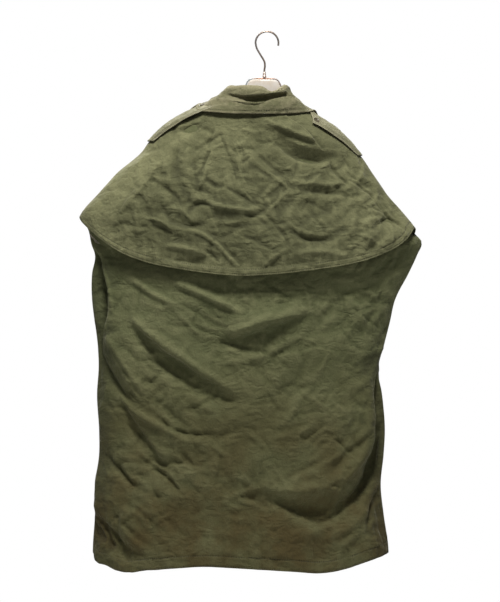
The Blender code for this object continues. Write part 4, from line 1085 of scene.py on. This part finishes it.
def clothFaceGroup():
    # Fading, mottling, paler ridges (wear and painted highlight), darker browner colour towards the bottom, painted
    # shade in hollows and seams, weave and small creases of a washed heavy cotton.
    group = bpy.data.node_groups.new("clothFace", "ShaderNodeTree")
    face = group.interface
    for name, kind in (
        ("Cloth Color", "NodeSocketColor"), ("Faded Color", "NodeSocketColor"), ("Bottom Color", "NodeSocketColor"),
        ("Fading", "NodeSocketFloat"), ("Grime Height", "NodeSocketFloat"), ("Weave Depth", "NodeSocketFloat"), ("Crease Depth", "NodeSocketFloat"),
    ):
        face.new_socket(name=name, in_out="INPUT", socket_type=kind)
    for name, kind in (("Color", "NodeSocketColor"), ("Roughness", "NodeSocketFloat"), ("Height", "NodeSocketFloat")):
        face.new_socket(name=name, in_out="OUTPUT", socket_type=kind)
    given = group.nodes.new("NodeGroupInput")
    result = group.nodes.new("NodeGroupOutput")
    place = group.nodes.new("ShaderNodeTexCoord").outputs["Object"]
    flat = addNode(group, "ShaderNodeUVMap", {"uv_map": "flatCloth"}).outputs["UV"]
    wearAndShade = addNode(group, "ShaderNodeAttribute", {"attribute_name": "wearAndShade"}).outputs["Fac"]
    apart = addNode(group, "ShaderNodeSeparateXYZ", i0=place)

    broad = addNode(group, "ShaderNodeTexNoise", Vector=place, Scale=5.0, Detail=3.0, Roughness=0.55).outputs["Fac"]
    patchy = addNode(group, "ShaderNodeTexNoise", Vector=place, Scale=28.0, Detail=6.0, Roughness=0.68, Distortion=0.4).outputs["Fac"]
    grain = addNode(group, "ShaderNodeTexNoise", Vector=place, Scale=330.0, Detail=3.0, Roughness=0.7).outputs["Fac"]
    faded = calc(group, "ADD", calc(group, "MULTIPLY", spreadTo(group, patchy, 0.36, 0.68), 0.45), calc(group, "MULTIPLY", spreadTo(group, broad, 0.35, 0.65), 0.4))
    # Paler on ridges and edges, as wear and as a painted highlight, and in random patches.
    faded = calc(group, "ADD", faded, calc(group, "MULTIPLY", wearAndShade, 0.75))
    faded = calc(group, "MULTIPLY", faded, given.outputs["Fading"], clamp=True)
    colour = mixColour(group, faded, (0, 0, 0), (0, 0, 0))
    mixed = colour.node
    group.links.new(given.outputs["Cloth Color"], mixed.inputs[6])
    group.links.new(given.outputs["Faded Color"], mixed.inputs[7])
    # Colour turns darker and browner towards the bottom, in cloudy patches.
    low = calc(group, "SUBTRACT", given.outputs["Grime Height"], apart.outputs["Z"])
    low = spreadTo(group, low, 0.0, 0.60)
    cloud = addNode(group, "ShaderNodeTexNoise", Vector=place, Scale=9.0, Detail=5.0, Roughness=0.6).outputs["Fac"]
    bottomTint = calc(group, "MULTIPLY", low, spreadTo(group, cloud, 0.28, 0.62, 0.35, 1.0), clamp=True)
    bottomTinted = mixColour(group, bottomTint, (0, 0, 0), (0, 0, 0))
    group.links.new(colour, bottomTinted.node.inputs[6])
    group.links.new(given.outputs["Bottom Color"], bottomTinted.node.inputs[7])
    # Painted shade darkens the cloth in dashes along the stitch grooves.
    seam = addNode(group, "ShaderNodeAttribute", {"attribute_name": "seam"}).outputs["Fac"]
    dashes = addNode(group, "ShaderNodeTexWave", {"wave_type": "BANDS", "bands_direction": "X"}, Vector=flat, Scale=62.0, Distortion=1.5).outputs["Fac"]
    stitched = calc(group, "MULTIPLY", seam, spreadTo(group, dashes, 0.2, 0.8, 0.35, 1.0))
    stitched = calc(group, "MULTIPLY", stitched, spreadTo(group, patchy, 0.38, 0.62, 0.25, 1.0))
    grainAndShade = calc(group, "MULTIPLY", spreadTo(group, grain, 0.25, 0.75, 0.86, 1.14), spreadTo(group, stitched, 0.0, 1.0, 1.0, 0.35))
    # Painted shade: negative wear-and-shade values darken the hollows, the coat's flanks and the cape's middle.
    grainAndShade = calc(group, "MULTIPLY", grainAndShade, spreadTo(group, wearAndShade, -0.9, -0.2, 0.68, 1.0))
    shaded = addNode(group, "ShaderNodeVectorMath", {"operation": "SCALE"}, i0=bottomTinted)
    group.links.new(grainAndShade, shaded.inputs["Scale"])
    group.links.new(shaded.outputs[0], result.inputs["Color"])
    rough = calc(group, "ADD", calc(group, "MULTIPLY", patchy, 0.12), 0.80)
    group.links.new(rough, result.inputs["Roughness"])

    sized = addNode(group, "ShaderNodeMapping", Vector=flat, Scale=(1.0, 1.0, 1.0))
    warp = addNode(group, "ShaderNodeTexWave", {"wave_type": "BANDS", "bands_direction": "X"}, Vector=sized.outputs[0], Scale=300.0, Distortion=0.6).outputs["Fac"]
    weft = addNode(group, "ShaderNodeTexWave", {"wave_type": "BANDS", "bands_direction": "DIAGONAL"}, Vector=sized.outputs[0], Scale=210.0, Distortion=0.6).outputs["Fac"]
    weave = calc(group, "MULTIPLY", calc(group, "ADD", warp, weft), 0.5)
    bent = addNode(group, "ShaderNodeTexNoise", Vector=place, Scale=14.0, Detail=4.0).outputs["Color"]
    bend = addNode(group, "ShaderNodeVectorMath", {"operation": "SCALE"}, i0=bent)
    bend.inputs["Scale"].default_value = 0.05
    moved = addNode(group, "ShaderNodeVectorMath", {"operation": "ADD"}, i0=place, i1=bend.outputs[0]).outputs[0]
    lines = 0.0
    for scale, depth, turn in ((19.0, 3.8, 0.6), (44.0, 2.0, -0.5)):
        drawn = addNode(group, "ShaderNodeMapping", Vector=moved, Rotation=(0.0, turn, 0.0), Scale=(0.55, 1.0, 1.3)).outputs[0]
        facets = addNode(group, "ShaderNodeTexVoronoi", {"feature": "DISTANCE_TO_EDGE"}, Vector=drawn, Scale=scale).outputs["Distance"]
        shown = addNode(group, "ShaderNodeTexNoise", Vector=place, Scale=scale * 0.5, Detail=1.0).outputs["Fac"]
        field = calc(group, "MULTIPLY", facets, spreadTo(group, shown, 0.38, 0.62, 0.1, 1.0))
        lines = calc(group, "ADD", lines, calc(group, "MULTIPLY", field, depth))
    soft = addNode(group, "ShaderNodeTexNoise", Vector=place, Scale=62.0, Detail=5.0, Roughness=0.6, Distortion=0.8).outputs["Fac"]
    creased = calc(group, "MULTIPLY", calc(group, "SUBTRACT", calc(group, "MULTIPLY", soft, 1.1), calc(group, "MULTIPLY", lines, -0.6)), given.outputs["Crease Depth"])
    total = calc(group, "SUBTRACT", calc(group, "ADD", creased, calc(group, "MULTIPLY", weave, given.outputs["Weave Depth"])), calc(group, "MULTIPLY", stitched, 0.5))
    total = calc(group, "ADD", total, calc(group, "MULTIPLY", grain, calc(group, "MULTIPLY", given.outputs["Weave Depth"], 3.0)))
    group.links.new(total, result.inputs["Height"])
    return group


def clothMaterial(name, group, colour, faded, bottomTint, fading=0.8, bottomTintTop=-0.55, crease=1.0, sheen=0.18):
    material = bpy.data.materials.new(name)
    material.use_nodes = True
    tree = material.node_tree
    shader = tree.nodes["Principled BSDF"]
    face = tree.nodes.new("ShaderNodeGroup")
    face.node_tree = group
    for socket, value in (("Cloth Color", (*colour, 1)), ("Faded Color", (*faded, 1)), ("Bottom Color", (*bottomTint, 1)),
                          ("Fading", fading), ("Grime Height", bottomTintTop), ("Weave Depth", 0.035), ("Crease Depth", crease)):
        face.inputs[socket].default_value = value
    bump = addNode(tree, "ShaderNodeBump", Strength=1.0, Distance=0.0032, Height=face.outputs["Height"])
    tree.links.new(face.outputs["Color"], shader.inputs["Base Color"])
    tree.links.new(face.outputs["Roughness"], shader.inputs["Roughness"])
    tree.links.new(bump.outputs[0], shader.inputs["Normal"])
    shader.inputs["Sheen Weight"].default_value = sheen
    shader.inputs["Sheen Roughness"].default_value = 0.5
    shader.inputs["Sheen Tint"].default_value = (0.75, 0.74, 0.55, 1.0)
    shader.inputs["Specular IOR Level"].default_value = 0.25
    return material


def metalMaterial(name, first, second, third, roughness, metallic, low, high):
    # Colour drifts from first through second to third along X, with small scratches.
    material = bpy.data.materials.new(name)
    material.use_nodes = True
    tree = material.node_tree
    shader = tree.nodes["Principled BSDF"]
    place = tree.nodes.new("ShaderNodeTexCoord").outputs["Object"]
    apart = addNode(tree, "ShaderNodeSeparateXYZ", i0=place)
    share = spreadTo(tree, apart.outputs["X"], low, (low + high) / 2)
    later = spreadTo(tree, apart.outputs["X"], (low + high) / 2, high)
    colour = mixColour(tree, later, mixColour(tree, share, first, second), third)
    spots = addNode(tree, "ShaderNodeTexNoise", Vector=place, Scale=160.0, Detail=5.0, Roughness=0.7).outputs["Fac"]
    dull = mixColour(tree, spreadTo(tree, spots, 0.45, 0.75, 0.0, 0.5), colour, tuple(0.55 * v for v in second))
    tree.links.new(dull, shader.inputs["Base Color"])
    tree.links.new(spreadTo(tree, spots, 0.3, 0.8, roughness, roughness + 0.25), shader.inputs["Roughness"])
    shader.inputs["Metallic"].default_value = metallic
    bump = addNode(tree, "ShaderNodeBump", Strength=0.4, Distance=0.0002, Height=spots)
    tree.links.new(bump.outputs[0], shader.inputs["Normal"])
    return material


def plateMaterial():
    material = bpy.data.materials.new("creamPlate")
    material.use_nodes = True
    tree = material.node_tree
    shader = tree.nodes["Principled BSDF"]
    place = tree.nodes.new("ShaderNodeTexCoord").outputs["Object"]
    spots = addNode(tree, "ShaderNodeTexNoise", Vector=place, Scale=45.0, Detail=4.0, Roughness=0.6).outputs["Fac"]
    colour = mixColour(tree, spreadTo(tree, spots, 0.42, 0.66), (0.50, 0.465, 0.42), (0.45, 0.39, 0.32))
    tree.links.new(colour, shader.inputs["Base Color"])
    tree.links.new(spreadTo(tree, spots, 0.3, 0.7, 0.32, 0.5), shader.inputs["Roughness"])
    bump = addNode(tree, "ShaderNodeBump", Strength=0.2, Distance=0.0004, Height=spots)
    tree.links.new(bump.outputs[0], shader.inputs["Normal"])
    return material


def buttonMaterial():
    material = bpy.data.materials.new("oliveButton")
    material.use_nodes = True
    tree = material.node_tree
    shader = tree.nodes["Principled BSDF"]
    place = tree.nodes.new("ShaderNodeTexCoord").outputs["Object"]
    swirl = addNode(tree, "ShaderNodeTexNoise", Vector=place, Scale=240.0, Detail=4.0, Distortion=1.5).outputs["Fac"]
    colour = mixColour(tree, spreadTo(tree, swirl, 0.35, 0.7), (0.050, 0.042, 0.026), (0.115, 0.098, 0.062))
    tree.links.new(colour, shader.inputs["Base Color"])
    tree.links.new(spreadTo(tree, swirl, 0.3, 0.7, 0.28, 0.45), shader.inputs["Roughness"])
    return material


# ---- buttons ----


def makeButton(name, node, radius, place, normal, material, thread):
    # A turned disc with a rim and four holes, sewn on with two bars of thread.
    profile = ((0.0, 0.0006), (0.50, 0.0006), (0.60, 0.0009), (0.72, 0.0017), (0.86, 0.0019), (0.96, 0.0013), (1.0, 0.0002),
               (0.94, -0.0010), (0.80, -0.0015), (0.0, -0.0015))
    work = bmesh.new()
    verts = [work.verts.new((share * radius, 0.0, height)) for share, height in profile]
    edges = [work.edges.new(pair) for pair in zip(verts, verts[1:])]
    bmesh.ops.spin(work, geom=verts + edges, axis=(0, 0, 1), cent=(0, 0, 0), angle=2 * math.pi, steps=40, use_merge=True)
    bmesh.ops.remove_doubles(work, verts=work.verts, dist=1e-6)
    bmesh.ops.recalc_face_normals(work, faces=work.faces)
    button = newPiece(name, work, material)
    cutter = bmesh.new()
    hole = radius * 0.2
    for x, y in ((hole, hole), (-hole, hole), (hole, -hole), (-hole, -hole)):
        bmesh.ops.create_cone(cutter, cap_ends=True, segments=14, radius1=radius * 0.10, radius2=radius * 0.10, depth=0.008,
                              matrix=Matrix.Translation((x, y, 0.0)))
    tool = newPiece(name + "Holes", cutter, material)
    drill = button.modifiers.new("holes", "BOOLEAN")
    drill.operation, drill.object, drill.solver = "DIFFERENCE", tool, "EXACT"
    graph = bpy.context.evaluated_depsgraph_get()
    cut = bpy.data.meshes.new_from_object(button.evaluated_get(graph))
    button.modifiers.clear()
    button.data = cut
    bpy.data.objects.remove(tool)
    turn = Vector(normal).to_track_quat("Z", "Y").to_matrix().to_4x4()
    spot = Matrix.Translation(Vector(place)) @ turn
    cut.transform(spot)
    cut.shade_smooth()
    cut.set_sharp_from_angle(angle=math.radians(40))
    bars = bmesh.new()
    for x in (-hole, hole):
        bar = bmesh.ops.create_icosphere(bars, subdivisions=2, radius=1.0)
        bmesh.ops.scale(bars, verts=bar["verts"], vec=(0.0006, hole * 1.25, 0.00045))
        bmesh.ops.translate(bars, verts=bar["verts"], vec=(x, 0.0, 0.0009))
    bmesh.ops.transform(bars, verts=bars.verts, matrix=spot)
    sewn = newPiece(name + "Thread", bars, thread)
    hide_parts(node)
    for piece, slot in ((button, "button"), (sewn, "coat_cloth")):
        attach(piece, "root")
    return button


# ---- hanger ----

# x, top height of the plate
plateTop = (
    (-0.088, -0.172), (-0.066, -0.150), (-0.050, -0.131), (-0.044, -0.119), (-0.034, -0.1135), (-0.008, -0.1130),
    (0.014, -0.1138), (0.024, -0.1175), (0.032, -0.131), (0.037, -0.156), (0.041, -0.171),
)
hanger = {
    "left": -0.218, "right": 0.176, "half": 0.006, "clearance": 0.0016, "middle": -0.010, "halfSpan": 0.21, "leastDepth": 0.020,
    "foot": -0.186, "footCurve": 0.055, "middleDeeper": 0.016, "rim": 0.0017, "rimGap": 0.0008, "wire": 0.0022,
    "hookRadius": 0.0275, "hookCentre": -0.0255, "tipTurn": -14, "ferruleX": -0.0062, "ferruleRadius": 0.0043,
    "ferruleFoot": -0.1084, "ferruleTop": -0.0955,
}
hookBend = ((-0.0245, -0.0385), (-0.0152, -0.0548), (-0.0068, -0.0690), (-0.0050, -0.0800), (-0.0062, -0.0900))


def ridgeHeight(x):
    heights = np.linspace(coatRows[0][0], -0.300, 120)
    reach = readRows(coatRows, heights, 1 if x < -0.03 else 2)
    order = np.argsort(reach)
    return float(np.interp(x, reach[order], heights[order]))


def hangerTop(x):
    if plateTop[0][0] < x < plateTop[-1][0]:
        return float(readRows(plateTop, x, 1))
    slope = (ridgeHeight(x + 0.002) - ridgeHeight(x - 0.002)) / 0.004
    return ridgeHeight(x) - (cloth["wall"] + hanger["clearance"]) * math.hypot(1.0, slope)


def makeHangerBody(material):
    around = 20
    plate = np.concatenate([[x for x, top in plateTop[1:-1]], np.linspace(-0.046, 0.033, 34)])
    stations = np.unique(np.concatenate([np.linspace(hanger["left"], -0.094, 26), plate, np.linspace(0.042, hanger["right"], 26)]))
    work = bmesh.new()
    bmesh.ops.create_grid(work, x_segments=len(stations) - 1, y_segments=around, size=1.0)
    for vert in work.verts:
        x = stations[round((vert.co.x + 1) / 2 * (len(stations) - 1))]
        turn = (vert.co.y + 1) * math.pi
        top = hangerTop(x)
        fromMiddle = abs(x - hanger["middle"]) / hanger["halfSpan"]
        curved = hanger["footCurve"] * fromMiddle**1.5 + hanger["middleDeeper"] * (1 - fromMiddle)
        foot = min(top - hanger["leastDepth"], hanger["foot"] - curved)
        half, tall, edge = hanger["half"], (top - foot) / 2, 0.0045
        y = np.clip(1.6 * math.cos(turn), -1, 1) * (half - edge) + edge * math.cos(turn)
        z = np.clip(1.6 * math.sin(turn), -1, 1) * (tall - edge) + edge * math.sin(turn)
        vert.co = (x, y, (top + foot) / 2 + z)
    bmesh.ops.remove_doubles(work, verts=work.verts, dist=1e-6)
    bmesh.ops.holes_fill(work, edges=[edge for edge in work.edges if edge.is_boundary], sides=0)
    bmesh.ops.recalc_face_normals(work, faces=work.faces)
    piece = newPiece("hangerPlate", work, material)
    piece.data.set_sharp_from_angle(angle=math.radians(60))
    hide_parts("hanger_body")
    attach(piece, "root")


def makeWire(name, node, points, radius, material):
    curve = bpy.data.curves.new(name, "CURVE")
    curve.dimensions = "3D"
    curve.bevel_depth, curve.bevel_resolution, curve.use_fill_caps = radius, 6, True
    spline = curve.splines.new("POLY")
    spline.points.add(len(points) - 1)
    for point, place in zip(spline.points, points):
        point.co = (*place, 1.0)
    helper = bpy.data.objects.new(name + "Line", curve)
    bpy.context.collection.objects.link(helper)
    graph = bpy.context.evaluated_depsgraph_get()
    mesh = bpy.data.meshes.new_from_object(helper.evaluated_get(graph))
    bpy.data.objects.remove(helper)
    work = bmesh.new()
    work.from_mesh(mesh)
    bmesh.ops.remove_doubles(work, verts=work.verts, dist=1e-6)
    bmesh.ops.recalc_face_normals(work, faces=work.faces)
    mesh.materials.clear()
    piece = newPiece(name, work, material)
    piece.data.set_sharp_from_angle(angle=math.radians(50))
    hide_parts(node)
    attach(piece, "root")
    return piece


def makeHanger(plate, hookMetal, rimMetal):
    makeHangerBody(plate)
    turns = np.linspace(math.radians(hanger["tipTurn"]), math.pi, 60)
    route = [(hanger["hookRadius"] * math.cos(t), hanger["hookCentre"] + hanger["hookRadius"] * math.sin(t)) for t in turns]
    bend = throughPoints(np.array([route[-1], *hookBend, (hanger["ferruleX"], hanger["ferruleTop"] + 0.0004)]), 48)
    route += [tuple(place) for place in bend[1:]]
    makeWire("hookWire", "hanger_hook", [(x, 0.0, z) for x, z in route], hanger["wire"], hookMetal)
    line = throughPoints(np.array(plateTop[1:-2]), 80)
    run = unit(np.gradient(line, axis=0))
    off = hanger["rim"] + hanger["rimGap"]
    rim = [(x - off * dz, 0.0, z + off * dx) for (x, z), (dx, dz) in zip(line, run)]
    makeWire("plateRim", "hanger_rim", rim, hanger["rim"], rimMetal)
    work = bmesh.new()
    foot, top, radius = hanger["ferruleFoot"], hanger["ferruleTop"], hanger["ferruleRadius"]
    profile = ((0.0, foot), (radius * 0.92, foot), (radius, foot + 0.0006), (radius, foot + 0.0030), (radius * 0.9, foot + 0.0036),
               (radius * 0.84, foot + 0.0080), (radius * 0.74, top - 0.0008), (radius * 0.66, top), (0.0, top))
    verts = [work.verts.new((hanger["ferruleX"] + out, 0.0, z)) for out, z in profile]
    edges = [work.edges.new(pair) for pair in zip(verts, verts[1:])]
    bmesh.ops.spin(work, geom=verts + edges, axis=(0, 0, 1), cent=(hanger["ferruleX"], 0, 0), angle=2 * math.pi, steps=36, use_merge=True)
    bmesh.ops.remove_doubles(work, verts=work.verts, dist=1e-6)
    bmesh.ops.recalc_face_normals(work, faces=work.faces)
    # The ferrule's pale middle colour is a painted highlight down its front.
    piece = newPiece("hookFerrule", work, metalMaterial("ferrulePaintedHighlight", (0.42, 0.24, 0.16), (0.75, 0.66, 0.60), (0.42, 0.26, 0.18), 0.35, 0.6, -0.0105, -0.002))
    piece.data.set_sharp_from_angle(angle=math.radians(35))
    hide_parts("hanger_ferrule")
    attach(piece, "root")


# ---- making ----

group = clothFaceGroup()
capeCloth = clothMaterial("capeCloth", group, (0.078, 0.080, 0.036), (0.172, 0.173, 0.086), (0.085, 0.075, 0.034), 0.8, -0.75, 1.0)
coatCloth = clothMaterial("coatCloth", group, (0.077, 0.085, 0.035), (0.142, 0.146, 0.070), (0.062, 0.047, 0.014), 0.75, -0.64, 1.0)
strapCloth = clothMaterial("strapCloth", group, (0.112, 0.112, 0.058), (0.27, 0.255, 0.165), (0.085, 0.075, 0.034), 0.9, -0.75, 0.7)
collarCloth = clothMaterial("collarCloth", group, (0.088, 0.088, 0.042), (0.215, 0.195, 0.118), (0.085, 0.075, 0.034), 0.85, -0.75, 0.8)
threadCloth = clothMaterial("sewingThread", group, (0.125, 0.122, 0.065), (0.21, 0.20, 0.12), (0.075, 0.068, 0.034), 0.8, -0.75, 0.2)
buttonHorn = buttonMaterial()
hookMetal = metalMaterial("hookMetal", (0.30, 0.27, 0.25), (0.32, 0.24, 0.19), (0.27, 0.24, 0.21), 0.35, 0.85, -0.03, 0.03)
rimMetal = metalMaterial("rimMetal", (0.36, 0.40, 0.41), (0.50, 0.27, 0.18), (0.33, 0.27, 0.24), 0.4, 0.6, -0.045, 0.025)

setStage()
print("stage set")
makeHanger(plateMaterial(), hookMetal, rimMetal)
print("hanger made")
coat = makeCoat(coatCloth)
print("coat made")
cape = makeCape(capeCloth)
print("cape made")
collarGrid = makeCollar(collarCloth)
print("collar made")
leftStrap = makeStrap("strapLeft", "epaulette_left", strapLeft, math.pi, strapCloth)
rightStrap = makeStrap("strapRight", "epaulette_right", strapRight, 0.0, strapCloth)
print("straps made")

for name, node, strap, tip, share, across in (
    ("strapButtonLeft", "epaulette_button_left", strapLeft, math.pi, 0.05, -0.45),
    ("strapButtonRight", "epaulette_button_right", strapRight, 0.0, 0.05, 0.42),
):
    under, normal = strapFace(strap, tip, np.array(share), np.array(across))
    makeButton(name, node, 0.0075, under + normal * (straps["wall"] + 0.0020), normal, buttonHorn, threadCloth)
for number, height in enumerate((-0.300, -0.440, -0.580, -0.720, -0.860), start=1):
    z = np.array(height)
    angle = frontAngle(coatRows, z, 0.0)
    normal = ringNormal(coatRows, angle, z)
    makeButton(f"frontButton{number}", f"front_button_{number}", 0.011, coatFace(angle, z) + normal * 0.0022, normal, buttonHorn, threadCloth)
print("buttons made")

hemPaths = [pathOn(cape, rowAbove(cape, cloth["capeHem"], up), allColumns(cape)) for up in sewing["capeRowsUp"]]
capeThread = makeStitches("capeStitches", hemPaths, threadCloth)
coatPaths = {}
for node, panel in coat.items():
    coatPaths[node] = [pathOn(panel, rowAbove(panel, cloth["coatHem"], up), allColumns(panel)) for up in sewing["coatRowsUp"]]
coatPaths["front_left"] += [pathOn(coat["front_left"], allRows(coat["front_left"]), coat["front_left"]["points"].shape[1] - 1 - k) for k in (1.2, 5.5)]
backLast = coat["back"]["points"].shape[1] - 1
tackRows = np.interp(np.linspace(-0.482, -0.499, 24), coat["back"]["points"][::-1, backLast - 3, 2], np.arange(len(coat["back"]["down"]))[::-1])
tackPaths = [pathOn(coat["back"], tackRows, backLast - 5.0 - 1.1 * k - np.linspace(0.0, 11.0, 24)) for k in range(6)]
paleThread = plainMaterial("paleThread", (0.50, 0.43, 0.37), 0.85)
coatThreads = {node: makeStitches(node + "Stitches", paths, threadCloth) for node, paths in coatPaths.items()}
lastRow = collarGrid["points"].shape[0] - 1
collarRow = lastRow - 6.5 / 1.15
collarThread = makeStitches("collarStitches", [pathOn(collarGrid, collarRow, allColumns(collarGrid))], threadCloth)
tack = makeStitches("armholeTack", tackPaths, paleThread)
for name, panel in (("strapLeft", leftStrap), ("strapRight", rightStrap)):
    last = panel["points"].shape[1] - 1
    rows = allRows(panel)
    ins = [last * (0.5 + math.asin(1 - d / straps["halfWidth"]) / math.pi) for d in (0.0030, 0.0085)]
    makeStitches(name + "Stitches", [pathOn(panel, rows, c) for k in ins for c in (k, last - k)], threadCloth)
print("sewing made")
